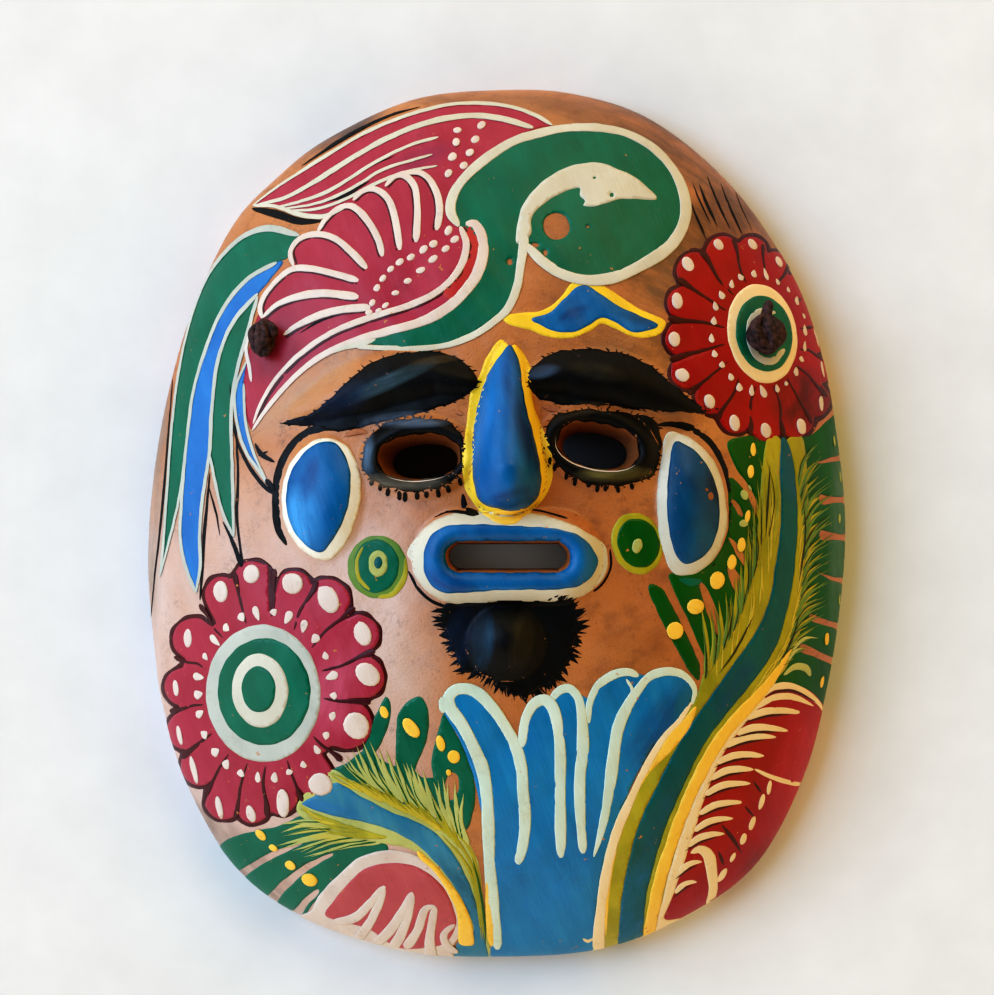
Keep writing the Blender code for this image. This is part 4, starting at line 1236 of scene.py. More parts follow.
paint_films("feather_greens", green,
    film(GREEN_1_OUTER + GREEN_1_INNER[-2::-1] + ((-49.5, 62.5), (-47.6, 65.6))),
    film(BLUE_RIGHT[:5] + GREEN_2_LEFT + GREEN_2_RIGHT[-2::-1]))
paint_films("feather_blues", sky_blue,
    film(((-50.6, 61),) + GREEN_1_INNER[:6] + BLUE_LEFT[1:] + BLUE_RIGHT[-2::-1], 1),
    film(SLIVER_LEFT + SLIVER_RIGHT[::-1], 1))
paint_strokes("feather_shadows", black,
    [stroke(((-76.4, 34), (-77.9, 15), (-79.2, 0), (-80.6, -12), (-81.5, -22)), (0.3, 0.55, 0.3), 1),
    stroke(((-67.6, 12), (-68.9, -2), (-69.3, -10), (-69.9, -18)), (0.25, 0.5, 0.3), 1),
    stroke(((-61.6, 24), (-61, 12), (-61.2, 1), (-59.8, -10.6)), (0.2, 0.4, 0.3), 1),
    stroke(((-64.6, 0.5), (-62.4, -4), (-60, -10.4)), (0.2, 0.5, 0.6), 1),
    stroke(((-57, 18.9), (-55.6, 16.4), (-52.4, 14.5)), (0.35, 0.6, 0.3), 1),
    stroke(((-56.2, 16), (-54, 17)), 0.3, 1), stroke(((-54.4, 10.4), (-52.4, 7.8)), (0.7, 0.6), 4),
    stroke(((-62.9, 33), (-61.8, 22), (-59, 14.5), (-55, 9), (-52.2, 6.9)), (0.15, 0.35, 0.55), 1),
    stroke(((-68, 9), (-66.2, 2.5), (-65.2, -3)), (0.15, 0.3, 0.1), 1)])
paint_strokes("feather_outlines", cool_white, [stroke(GREEN_1_OUTER, (0.85, 0.95, 0.7, 0.6, 0.5)),
    stroke(GREEN_1_INNER, (0.7, 0.7, 0.6, 0.5, 0.45)), stroke(BLUE_LEFT, 0.55),
    stroke(BLUE_RIGHT, (0.75, 0.6, 0.55, 0.5)), stroke(GREEN_2_RIGHT, (0.6, 0.5, 0.45)),
    stroke(GREEN_2_LEFT, 0.45), stroke(SLIVER_LEFT, (0.4, 0.45, 0.35)),
    stroke(SLIVER_RIGHT, (0.4, 0.4, 0.3))])

# %% [markdown]
# ## The bird
# A crimson wing lies along the top, a crimson fan spreads below it, and the green body curls
# round its own white beak. The body is one film, and its eye and its chips are holes in that
# film, where the bare clay shows.

# %% Outlines of the wing and fan
WING_OUTER = ((-57.3, 75), (-52.1, 78.9), (-45.1, 83.5), (-38, 87.9), (-30.4, 92.3), (-21, 96.1),
    (-11.6, 98.5), (-3, 98.9), (4, 97.9), (9, 96.1), (13, 93.8))
WING_SECOND = ((-56.5, 75), (-49.8, 76.7), (-43, 80.4), (-35.1, 85.4), (-26.5, 90.3), (-17.5, 94),
    (-8, 95.9), (0, 95.5), (8.5, 93.2))
FAN_INNER = ((-57.4, 23.5), (-55.4, 28.6), (-51.4, 34.8), (-45.5, 40.6), (-38, 45.4), (-29.2, 48.7),
    (-20, 51.6), (-13.4, 55), (-8.8, 60), (-7.2, 65.6), (-8.6, 69.9))
FAN_OUTER = ((-57.6, 22), (-54, 27.2), (-48.5, 33.6), (-42, 39), (-34, 42.9), (-25.5, 45.3), (-16.5, 48),
    (-9.5, 52.6), (-4.6, 59), (-3.2, 65.4), (-4.8, 70.2), (-7.4, 70.6))
PETALS = (((-55.2, 48.3), (-55.7, 51.2), (-53.6, 55.2), (-48.8, 59.6), (-44, 60), (-38, 58.7),
    (-32.6, 57.2)), ((-47.8, 60.6), (-48.6, 63.8), (-46.6, 66.9), (-42.5, 68.1), (-38, 67), (-33.9, 63.6),
    (-30.6, 60)), ((-42.2, 68.6), (-40.4, 71.5), (-37.5, 74.1), (-34.2, 74.7), (-31, 72), (-28.1, 67.3),
    (-26.9, 62.9)), ((-33.9, 76), (-31.6, 78.2), (-28.7, 78.7), (-25.7, 76.5), (-24, 72), (-22.8, 64.4)),
    ((-26.3, 79.3), (-24, 81.7), (-21.4, 81.7), (-19.3, 79.1), (-18.7, 73.8), (-19, 66.2)),
    ((-23.6, 82.2), (-18.7, 82.7), (-15.8, 80.9), (-13.9, 76.9), (-13.5, 73), (-14.2, 69)))
BODY_OUTER = ((-9, 69.9), (-10.9, 73.4), (-10.2, 77.6), (-7.4, 81.6), (-2.4, 86), (3.6, 89.8), (9, 91.6),
    (16, 93), (24, 93.1), (31, 91.6), (37.2, 88), (42, 82.4), (44.3, 76), (43.7, 70), (40.2, 64.9),
    (34, 60.8), (27.5, 57.9), (21, 57.3), (15.2, 58.8), (10.6, 61.8), (6.8, 65.8))
print("petals of the fan:", len(PETALS))

# %% Wing and fan
paint_films("wing_crimson", crimson,
    film(WING_OUTER + ((8, 92.6), (0, 87.6), (-6, 83.2), (-9.6, 79), (-10.6, 73), (-8.4, 69.6), (-14, 66),
        (-19, 70), (-26, 76.5), (-34.2, 75.4), (-40.4, 72.8), (-47.4, 73), (-52.1, 74.4))),
    film(((-58.6, 40), (-57.2, 46), (-55.6, 50.5), (-53.4, 55.6), (-48.6, 60), (-48.4, 64.2),
        (-46.4, 67.2), (-42.2, 68.8), (-40.2, 72), (-37, 74.6), (-33, 76.6), (-29, 79), (-25, 81.2),
        (-19, 83), (-15.5, 81), (-13, 76), (-12, 70.4)) + FAN_OUTER[::-1] + ((-59.2, 27), (-59.6, 33)),
        1))
paint_films("tail_orange_red", orange_red, film(FAN_INNER[7:] + FAN_OUTER[-2:-6:-1], 2))
paint_strokes("wing_shadows", black,
    [stroke(((-57.6, 74.2), (-52, 72.9), (-46.5, 71.2), (-40.8, 71.2)), (0.5, 1.1, 0.9, 0.3), 1),
    stroke(((-46, 84.2), (-39, 88.9), (-32, 93), (-25, 96.2), (-18, 98.2)), (0.2, 0.8, 1, 0.6, 0.2), 1),
    stroke(((-42, 75.6), (-36, 77.2), (-30, 80.6)), (0.2, 0.7, 0.2), 1),
    stroke(((-36, 80.6), (-30, 84), (-24, 86.6)), (0.1, 0.35, 0.1), 1),
    stroke(((-47, 44.5), (-41, 48), (-35, 49.6)), (0.1, 0.35, 0.1), 2)])
paint_strokes("wing_outlines", white, [stroke(WING_OUTER, (0.5, 0.75, 0.75, 0.8, 0.6)),
    stroke(WING_SECOND, (0.5, 0.9, 1, 1.05, 1)),
    stroke(((-52.1, 74.4), (-46.9, 75.6), (-40.4, 77.9), (-35.1, 80.9), (-29.2, 84.7), (-21, 88.8),
        (-13.8, 91)), (0.4, 0.6, 0.55, 0.5)),
    stroke(((-50.4, 74.1), (-43.9, 75), (-38, 77), (-32.2, 80), (-26.3, 83.5), (-15.2, 86.9)),
        (0.3, 0.5, 0.5, 0.4)),
    stroke(((-49.8, 73.6), (-42.7, 74), (-36, 76.2), (-28.7, 79.9), (-22, 82.6), (-14, 84.3)),
        (0.3, 0.5, 0.5, 0.35)),
    stroke(((-57.4, 74.9), (-52, 74.6), (-47.4, 73), (-43.6, 72.3), (-40, 72.5), (-35, 75)),
        (0.55, 0.5, 0.7, 0.6))])
FAN_LINES = (
    (((-55.1, 48.5), (-51.6, 51.6), (-46.5, 53.5), (-40.4, 54.2), (-32.6, 53.3)), (0.6, 0.95, 1.05)),
    (((-50.2, 44.4), (-46.9, 46.7), (-41.6, 49.1), (-36.3, 50.4), (-29.8, 50.9)), (0.6, 0.95, 1)),
    (FAN_INNER, (0.4, 0.65, 0.75, 0.8, 0.85)))
paint_strokes("fan_shadows", plum, [stroke(line, 0.45, 2, side=-0.85) for line, _ in FAN_LINES] +
    [stroke(petal, 0.4, 2, side=-0.8) for petal in PETALS])
paint_strokes("fan_outlines", rosy_white, [*[stroke(petal, (0.65, 0.8, 0.8, 0.85)) for petal in PETALS],
    *[stroke(line, widths) for line, widths in FAN_LINES],
    stroke(FAN_OUTER, (0.5, 0.7, 0.8, 1.15, 1.3, 1.2)),
    stroke(((-57.8, 33.4), (-58.3, 37), (-59, 41), (-58.2, 45.6), (-56.9, 51.6)), (0.5, 0.45))])
paint_dots("wing_dots", rosy_white, [(-9.3, 92.6, 1, 0.9), (-9.6, 89.8, 0.9, 1.3),
    (-10.5, 86.4, 1, 1.3, -20), (-11.4, 82.4, 0.9, 1.2, -20), (-3.7, 93.8, 0.9, 1.4, -15),
    (-5.1, 90.4, 1, 1.2, -25), (-6.4, 87.3, 1, 1.2, -25), (-7.8, 84.3, 0.9, 1.1, -30),
    (-29.3, 52, 0.7, 0.9, -20), (-28.3, 55.4, 0.8, 1, -25), (-26.9, 57.7, 0.8, 1, -35),
    (-25, 59.9, 0.7, 0.9, -45), (-22.9, 61.6, 0.8, 1.1, -50), (-20.2, 62.8, 0.8, 1, -50),
    (-17.3, 64.5, 0.9, 1.3, -40), (-15, 65.8, 1, 1.1, -30), (-11.4, 69, 0.9, 1.2, -20),
    (-30.2, 49.7, 0.9, 0.8), (-27.9, 50.2, 0.6, 0.8, -60), (-26.3, 51.4, 0.6, 0.9, -60),
    (-23.9, 54.3, 0.7, 1, -80), (-21, 57.1, 0.7, 1, -75), (-18, 59.7, 0.8, 1.2, -65),
    (-15, 62.2, 0.8, 1.3, -50), (-12, 64.7, 0.8, 1.1, -60), (-9.9, 66.9, 0.9, 1.1, -50)])

# %% Body, beak and outline
CHIPS = ((3, 61.7, 0.7, 0.8), (9, 65.6, 1, 0.6), (11.4, 63.7, 0.5, 0.9), (21.4, 69.9, 0.5, 0.4))
paint_films("bird_green", green,
    film(BODY_OUTER + ((5.6, 62), (4.6, 56), (2.4, 51), (-1.6, 47.6), (-6.6, 44.2), (-13, 41.9),
        (-22, 41.2), (-29, 42.2), (-33.5, 43.2)) + FAN_OUTER[5:10], 2,
        [ellipse((14, 70), (3.1, 3.3), 20)] + [ellipse(chip[:2], chip[2:], sides=7) for chip in CHIPS]))
paint_films("bird_beak", white,
    film(((4.7, 66), (4.9, 71), (6.6, 75.9), (9.8, 79.6), (14.4, 82.9), (19.4, 84.7), (24.1, 84.9),
        (28.6, 83.3), (33.2, 81), (37.1, 77.4), (37.2, 76.2), (34, 76.3), (29.4, 76.4), (25.6, 75.3),
        (22.8, 74.7), (20.3, 74.8), (20.8, 76), (19.5, 77.2), (19.4, 79.1), (15.6, 77.9), (12.2, 76.2),
        (9.2, 73.6), (8, 71.6), (8, 68)), 3,
        [ellipse((22.9, 81.4), (0.5, 0.35), sides=6), ellipse((27, 77.3), (0.5, 0.6), sides=6)]))
paint_strokes("bird_outline", white, [stroke(BODY_OUTER, (1.1, 1.3, 1.35, 1.5, 1.45, 1.35, 1.15)),
    stroke(((6.2, 70.5), (6.3, 66), (5.6, 61), (4.7, 55.6), (2.7, 50.8), (-0.6, 47.6), (-5, 44.6),
        (-11, 42.2), (-18, 41.2), (-26, 41.3), (-33, 41.6)), (1.2, 1, 0.9, 0.75, 0.65, 0.6)),
    stroke(((-28.6, 43.4), (-31.5, 42.4), (-36, 41.6), (-41, 39.8)), (0.5, 0.9, 0.5))])

# %% [markdown]
# ## The forehead, nose, brows and ears
# A yellow shape was painted first and a blue one over it, which leaves a yellow border of
# uneven width. The ears are built the same way, black under white under blue.

# %% Forehead and nose
paint_films("yellow_borders", yellow,
    film(((1.2, 48.6), (5.5, 49.6), (10.6, 50.2), (14.7, 53), (17.6, 56.6), (20.6, 57.9), (25.4, 55.9),
        (29.4, 53.2), (34.1, 50.3), (39.3, 48), (39.3, 45.6), (36.4, 43.9), (32, 44), (28, 45.8),
        (24.7, 47.1), (21.8, 45.3), (17.1, 43.6), (11.8, 44.1), (7.4, 45.7), (3, 46.8))),
    film(((0.8, 43.3), (-2.2, 39.6), (-4.2, 35), (-6.2, 30.6), (-7, 25), (-7.8, 19), (-8.1, 13),
        (-7.4, 7.8), (-5.4, 4.6), (-3.6, 2.6), (0.4, 0.3), (2.4, -0.3), (4.6, 0.4), (8, 3), (10.6, 5.4),
        (12.6, 9), (13.2, 13.2), (12.4, 18), (10.6, 22.8), (8.8, 27.4), (8, 32), (8.2, 35.6), (6.8, 39.2),
        (4.4, 42.2), (3, 41.6))))
paint_films("forehead_blue", blue,
    film(((8.2, 48.2), (12.6, 49.9), (15.9, 53), (18.9, 55.7), (21.6, 55.9), (25, 53.6), (29.4, 50.8),
        (33.6, 49), (37.9, 46.8), (35.4, 45.4), (31.6, 45.2), (27.8, 47.4), (24.8, 48.5), (21.4, 46.6),
        (17.6, 45), (13.4, 45.4), (10.2, 46.8)), 1))
paint_films("nose_blue", blue,
    film(((3.2, 42), (0.6, 39.2), (-1.5, 36.2), (-3.4, 32), (-4.8, 26.6), (-5.7, 20), (-5.8, 14),
        (-5.1, 8.2), (-3.6, 5), (0, 3.5), (3.6, 3), (7, 3.8), (9.4, 6.2), (10.4, 10), (9.8, 15),
        (8.6, 20), (7, 26.4), (5.8, 32.6), (5.2, 37.6)), 1))

# %% Ears
EAR_OUTLINES = (((-40.2, 20.1), (-45, 18.2), (-48.9, 13.6), (-50.5, 7.6), (-50.2, 1), (-47.8, -4),
    (-43.8, -7.6), (-40, -8.6), (-36.6, -6), (-33.6, 0), (-32, 7), (-32.8, 13.4), (-35.4, 18.2)),
    ((40, 21.2), (44, 20.8), (48.4, 17.8), (52, 12.4), (53.7, 5.6), (53.9, -1), (51.6, -7.4),
    (47.2, -11.4), (42, -12), (39.6, -8), (38, -1), (37.7, 7), (38.6, 14.6)))
EAR_BLUES = (((-40.4, 19.3), (-44.6, 17.2), (-48, 12.8), (-49.4, 7.4), (-49, 1.4), (-46.6, -3.2),
    (-43.2, -6.2), (-40.6, -6.4), (-38.2, -3.2), (-35.6, 2), (-34.4, 8), (-35, 14), (-37.2, 18.2)),
    ((41.6, 19), (44.4, 18.4), (47.6, 15.8), (50.6, 11), (52, 5), (51.8, -1.4), (49.4, -6.6),
    (45.2, -9.4), (42.4, -8), (40.8, -3), (39.9, 4), (40.4, 12)))
paint_films("left_ear_white", bright_white, film(EAR_OUTLINES[0], 1))
paint_films("right_ear_white", white, film(EAR_OUTLINES[1], 1))
paint_films("left_ear_blue", blue, film(EAR_BLUES[0], 2))
paint_films("right_ear_blue", shaded_blue, film(EAR_BLUES[1], 2))
paint_dots("ear_clay_spot", raw_clay, [(50, 6.4, 1, 0.8, 20), (49, 7.8, 0.5, 0.4)], 3)
paint_strokes("ear_shadows", black,
    [stroke(((-35, 22.4), (-40, 22.6), (-44.5, 21.2), (-48.6, 17.6), (-51.2, 12), (-52, 5), (-51.6, -1),
        (-49.6, -5)), (0.4, 1, 1.3, 1.3, 1.1, 1, 0.6), 0),
    stroke(((37.6, 23.2), (42, 23.4), (46.5, 22), (50.6, 18.6), (53.4, 13.6), (54.8, 8), (55, 1)),
        (0.4, 0.9, 1.1, 0.9, 0.5), 0),
    stroke(((54.8, 4), (54.4, -3), (52, -8.6), (48, -12)), (0.3, 0.4, 0.2), 0)])

# %% Cheeks
paint_films("left_cheek_ring", moss, film(ellipse((-28.2, -10.2), (7, 7.4))))
paint_films("right_cheek_ring", olive, film(ellipse((33, -4.7), (6, 7.4), 18)))
paint_films("left_cheek_green", green, film(ellipse((-28.4, -10), (5.3, 6.3)), 1))
paint_films("right_cheek_green", leaf_green, film(ellipse((33.3, -4.6), (4.9, 5.9), 18), 1))
paint_strokes("left_cheek_arc", olive,
    [stroke(((-31.6, -5.4), (-33, -9), (-32.4, -13), (-30, -15.6)), (0.3, 0.5, 0.4), 2),
    stroke(((-21.6, -8), (-21.8, -12.6), (-24.4, -16.4), (-28, -17.4)), (0.3, 0.7, 0.5), 1)])
paint_films("cheek_centres", pale_olive, film(ellipse((-28, -9.4), (2.3, 3.1)), 2),
    film(ellipse((33, -5.2), (1.2, 1.8), -15), 2))
paint_films("cheek_middle", teal, film(ellipse((-28, -9.2), (1, 1.4)), 3), slot="green_paint")

# %% [markdown]
# ## Brows, eyes, beard and mouth
# Black was laid thick for the brows and the beard and dragged out dry at their edges, so a film
# carries the solid part and many short tapering strokes make the ragged border. The clouds in it
# are part of the black paint's own finish; the slate-blue bands on the brows and the teal-blue
# cloud on the left of the chin's bump are painted highlights, and the greyish brown cloud on the
# bump's right is a painted warm reflection.

# %% Ragged edges
def hairs(outline, count, length, half_width, level, away, spread, where=(0.0, 1.0), lean=1.0):
    """Short strokes across an outline, pointing away from a middle; a small lean lays them flatter."""
    line = smooth_points(outline, 0.5, closed=True)
    made = []
    for share in np.linspace(where[0], where[1], count, endpoint=False):
        u, v = line[int(share * len(line) + rng.uniform(-2, 2)) % len(line)]
        angle = math.atan2(lean * (v - away[1]), u - away[0]) + rng.uniform(-spread, spread)
        run = length * rng.uniform(0.45, 1.3)
        way = np.array((math.cos(angle), math.sin(angle)))
        bend = np.array((-way[1], way[0])) * run * rng.uniform(-0.12, 0.12)
        start = np.array((u, v)) - way * 0.35 * run
        made.append(stroke((start, start + 0.6 * run * way + bend, start + 1.3 * run * way),
                           half_width * rng.uniform(0.6, 1.3), level, "tip", spacing=0.5))
    return made


# %% Brows, eye shades and beard
BROW_OUTLINES = (((-50.6, 23.6), (-45, 25.4), (-40.4, 28.2), (-35.7, 32.6), (-31, 36.8), (-25.6, 39.2),
    (-19, 40.5), (-12.6, 40.2), (-7.6, 37.8), (-4.6, 34.2), (-5.8, 31.4), (-10, 28.8), (-16, 26.6),
    (-23, 24.9), (-31, 22.9), (-37, 21.8), (-43, 22.8)), ((7, 33.6), (8.8, 36.9), (12.4, 39.9), (18, 41),
    (24, 40.9), (30.6, 39.7), (36.4, 36.8), (41, 33), (45.6, 29.2), (52, 26.5), (46, 26.2), (40, 26.4),
    (34, 26.9), (28, 27.6), (21, 27.9), (14, 28.3), (9.2, 30)))
EYE_SHADES = (((-31.6, 14.6), (-30.6, 19.8), (-26.6, 23.4), (-20, 24.8), (-13, 24.3), (-8.8, 21.6),
    (-7.6, 16.6), (-9, 11.6), (-13, 8.6), (-19, 7.6), (-26, 8.6), (-30.2, 11)), ((11.6, 22.8),
    (14.6, 25.8), (20, 26.6), (27, 26.4), (33.6, 25.6), (37.8, 23.4), (38.8, 18.6), (37.6, 13), (34, 10),
    (27.6, 8.8), (20.6, 9.8), (15.6, 12.4), (12.6, 16.6)))
BEARD = ((-11.6, -19.2), (-6, -18.2), (2, -17.9), (10, -17.9), (17, -18), (18.8, -22), (19.2, -26),
    (17.6, -30), (15.8, -34), (12.6, -37.6), (8, -40.2), (4, -39.8), (0, -37.8), (-3.6, -35.4),
    (-7.2, -34.8), (-9.6, -31.2), (-11.2, -27.6), (-12.6, -24.4), (-13, -21.6))
BEARD_MIDDLE = (3, -26)
brow_hairs, shade_hairs = [], []
for outline in BROW_OUTLINES:
    brow_hairs += hairs(outline, 46, 1.0, 0.24, 1, np.mean(outline, axis=0), 0.25, lean=0.35)
for outline in EYE_SHADES:
    shade_hairs += hairs(outline, 50, 0.9, 0.28, 0, np.mean(outline, axis=0), 0.4, lean=0.6)
paint_films("brows", black, *[film(outline, 1, wobble=0.2) for outline in BROW_OUTLINES])
paint_films("eye_shades", black, *[film(outline, 0, [eye_mark(eye, EDGE_ROUND - 0.35)], 0.3)
                                   for outline, eye in zip(EYE_SHADES, EYES)])
paint_films("beard", black, film(BEARD, wobble=0.5))
paint_strokes("brow_and_eye_hairs", black, brow_hairs + shade_hairs, 6)
paint_strokes("beard_hairs", black, hairs(BEARD, 56, 2.4, 0.6, 0, BEARD_MIDDLE, 0.4, (0.27, 1))
              + hairs(BEARD, 100, 1.7, 0.22, 0, BEARD_MIDDLE, 0.6, (0.27, 1)), 6)


# %% Lashes and the lids' pale lines
def lashes(eye, wider, angles, length, half_width):
    made = []
    (u, v), tilt, _ = eye
    for angle in np.radians(angles):
        a = angle + rng.uniform(-0.05, 0.05)
        p, q = (EYE_HALF_LENGTH + wider) * math.cos(a), (EYE_HALF_HEIGHT + wider) * math.sin(a)
        start = np.array((u + p, v + q + p * math.sin(math.radians(tilt))))
        way = np.array((0.35 * math.cos(a) + rng.uniform(-0.15, 0.15), -1.0))
        way = way * length * rng.uniform(0.8, 1.25)
        made.append(stroke((start, start + 0.6 * way, start + way), half_width, 1, spacing=0.4))
    return made


left, right = EYES
paint_strokes("lashes", black,
    lashes(left, 3.4, (212, 224, 235, 246, 257, 268, 279, 290, 302, 316), 1.9, 0.5)
    + lashes(right, 4, (200, 212, 224, 235, 246, 257, 268, 279, 291, 304), 1.9, 0.45), 8)
paint_strokes("lid_lines", rosy_white, [stroke(eye_mark(left, EDGE_ROUND + 0.1)[44:62], 0.14, 1, "leaf"),
    stroke(eye_mark(right, EDGE_ROUND + 0.1)[36:68], 0.2, 1, "leaf")], 6)
paint_strokes("lid_scuffs", bare_clay, [stroke(((10.6, 27.6), (13, 27), (16.6, 26.7)), 0.7, 1, "leaf"),
    stroke(((-36, 20.6), (-33, 21.6), (-30.4, 21.4)), 0.8, 1, "leaf"),
    stroke(((-10, 26.6), (-7.8, 25.6)), 0.6, 1, "leaf")], 6)

# %% Mouth
MOUTH_WHITE = ((-21.2, -6.8), (-18.8, -3), (-15.4, 0.4), (-10, 2.4), (-4, 2.8), (4, 2.9), (10, 2.2),
    (15.6, 0.6), (20.6, -1.8), (25.3, -5), (26.1, -9.4), (24.6, -13.4), (21, -16.6), (16, -18.2),
    (10, -18.6), (2, -18.5), (-5, -18.9), (-10.4, -18.9), (-14.6, -17.4), (-17.8, -14.6), (-19.8, -11.6),
    (-20.1, -9))
MOUTH_BLUE = ((-17.2, -8.5), (-16.4, -4.6), (-14.4, -1.8), (-10.8, -0.5), (-4, -0.2), (4, -0.6), (12, -1),
    (17.6, -2.2), (21.4, -4.6), (23.6, -8.4), (22.6, -11.8), (19.4, -14.4), (14, -15.4), (6, -15.4),
    (-2, -15.7), (-9, -16.2), (-13.6, -15.8), (-16.4, -12.8))
paint_films("mouth_white", white, film(MOUTH_WHITE, 0, [mouth_mark(3)]))
paint_films("mouth_blue", blue, film(MOUTH_BLUE, 1, [mouth_mark(EDGE_ROUND)]))
paint_films("drop_under_nose", amber,
    film(((-3.6, 2.4), (0, 2.9), (4, 3.3), (8.2, 3.4), (6.2, 1.4), (4, -0.1), (0.6, -0.1), (-1.4, 1)), 1))
paint_strokes("mouth_shadows", black,
    [stroke(((-8, 7), (-7.6, 4), (-5, 2.2), (-11, 2.9), (-15, 1.4)), (0.5, 1, 0.6, 0.3), 0),
    stroke(((6, 3.6), (11, 2.8), (16.6, 1.2)), (0.3, 0.4, 0.4), 0),
    stroke(((-20.6, -11), (-18, -15.6), (-14, -18.6), (-9, -19.6)), 0.35, 0, side=-0.3),
    stroke(((26.6, -6), (26.8, -10), (25, -14), (21.4, -17)), 0.25, 0)])

# %% [markdown]
# ## The two flowers
# Each flower is a wheel of crimson petals with a pale tip, a ring of small pale drops, and a
# target of white and green in the middle. The petals' outline is worked out from the tips: in
# every direction it is the furthest of the round petal ends. A slightly larger dark film under
# it gives the dark edge.

# %% Petals and dabs
WIDEST_GAP = 16.0         # two petal ends further apart than this, in mm, have no dark line between


def petal_wheel(middle, ends, base, wider=0.0):
    """Outline round a wheel of round petal ends, given as (u, v, radius)."""
    outline = []
    for angle in np.arange(0.0, 360.0, 2.0):
        way = np.array((math.cos(math.radians(angle)), math.sin(math.radians(angle))))
        far = base + wider
        for u, v, radius in ends:
            along = (u - middle[0]) * way[0] + (v - middle[1]) * way[1]
            aside = (u - middle[0]) * way[1] - (v - middle[1]) * way[0]
            if along > 0 and abs(aside) < radius + wider:
                far = max(far, along + math.sqrt((radius + wider) ** 2 - aside ** 2))
        outline.append(np.array(middle) + way * far)
    return outline


def petal_gaps(middle, ends, ring, half_width):
    """Dark lines between the petals, from the ring out to the notch."""
    made = []
    for first, second in zip(ends, ends[1:] + ends[:1]):
        notch = 0.5 * (np.array(first[:2]) + np.array(second[:2]))
        way = notch - middle
        far = np.linalg.norm(way)
        if np.linalg.norm(np.array(first[:2]) - second[:2]) > WIDEST_GAP:
            continue
        way /= far
        start = np.hypot(*(way * ring)) + 0.8
        across = np.array((-way[1], way[0])) * rng.uniform(-0.7, 0.7)
        widths = half_width * rng.uniform(0.8, 1.2) * np.array((2.4, 1.1, 0.8, 0.6))
        route = [middle + way * far_out for far_out in (far + 3.6, far + 0.6, 0.5 * (far + start), start)]
        route[2] = route[2] + across
        made.append(stroke(route, widths, 2))
    return made


def dabs_round(middle, size, turn, count, length, half_width, point):
    """A ring of small three-cornered dabs; point is the way their corners point, None for inward."""
    made = []
    for spot in ellipse(middle, size, turn, count):
        inward = np.array(middle) - spot
        way = inward / np.linalg.norm(inward) if point is None else np.array(point)
        way = (way + rng.uniform(-0.35, 0.35, 2)) * length * rng.uniform(0.85, 1.2)
        start = spot + rng.uniform(-0.4, 0.4, 2) - 0.5 * way
        widths = half_width * rng.uniform(0.85, 1.2) * np.array((0.75, 1.0, 0.7, 0.25))
        made.append(stroke((start, start + 0.5 * way, start + way), widths, 3, spacing=0.3))
    return made


# %% Petal tips and ends
LEFT_TIPS = ((-57.8, -11.9, 2.2, 2.1, 10), (-65, -16, 2.2, 2.7, 0), (-72.8, -27, 1.5, 2.4, -8),
    (-75.6, -38.7, 1.2, 2.1, 0), (-74.7, -49.9, 1.2, 2.5, 5), (-71.3, -58, 1.2, 3.4, 5),
    (-65.3, -66.9, 1.3, 2.9, 0), (-57.9, -68.3, 1.3, 2.2, 5), (-50.4, -65.8, 1.7, 3.8, -5),
    (-41.6, -61.4, 3.2, 2.7, 15), (-33.1, -47.6, 2.9, 3.5, 20), (-30.4, -35.5, 3.3, 2.5, -38),
    (-31.7, -25.9, 2.1, 3, 25), (-39.8, -17.7, 2.3, 3.4, 30), (-48.1, -14.1, 2.5, 2.4, 0))
LEFT_ENDS = [(-57.6, -13.2, 4.6), (-64.5, -16.8, 4.5), (-71.4, -27.2, 5.2), (-73.9, -38.4, 4.6),
    (-73, -48.6, 4.9), (-69.8, -57, 4.9), (-64.3, -65.2, 4.7), (-57.4, -66.6, 4.2), (-51, -64.4, 4.3),
    (-43.2, -59.6, 4.8), (-35.2, -47.4, 6), (-31.6, -36.2, 5.3), (-32.6, -26.2, 5), (-39.8, -18.2, 5.4),
    (-47.8, -15.4, 4.5)]
RIGHT_TIPS = ((52.1, 65.7, 1.3, 1.6, 0), (60.2, 65.7, 1.6, 1.6, 0), (66.4, 61.6, 1.3, 1.8, -35),
    (45, 61, 1.4, 1.9, 20), (42.4, 52.4, 1.5, 1.9, 0), (41.8, 43.4, 1.4, 1.7, 0),
    (43.6, 35, 1.7, 1.7, -20), (50, 28.7, 1.5, 1.6, 30), (55.9, 23.7, 1.5, 2, 10),
    (63.3, 21.9, 1.5, 1.8, 10), (71.6, 22.9, 1.5, 1.9, 20), (76.3, 28.2, 1.1, 1.8, 0),
    (76.6, 36.3, 0.8, 2.1, 5), (75.1, 43.8, 0.7, 2.3, 8))
RIGHT_ENDS = [(53.2, 63.6, 4.3), (60, 63.8, 3.9), (65.2, 60.6, 3.6), (69.6, 55.4, 3.4), (72.4, 49.6, 3.2),
    (74.6, 43, 3.2), (75.6, 36, 3.4), (74.6, 29, 4.1), (70.2, 24.6, 4.6), (63.4, 23.6, 4.3),
    (56.4, 25.4, 4.3), (50.6, 29.8, 4.2), (44.8, 35.6, 4.1), (43.6, 43.6, 4.2), (44.2, 51.8, 4.3),
    (46.6, 59.6, 4.5)]
print("petals:", len(LEFT_ENDS), "and", len(RIGHT_ENDS))

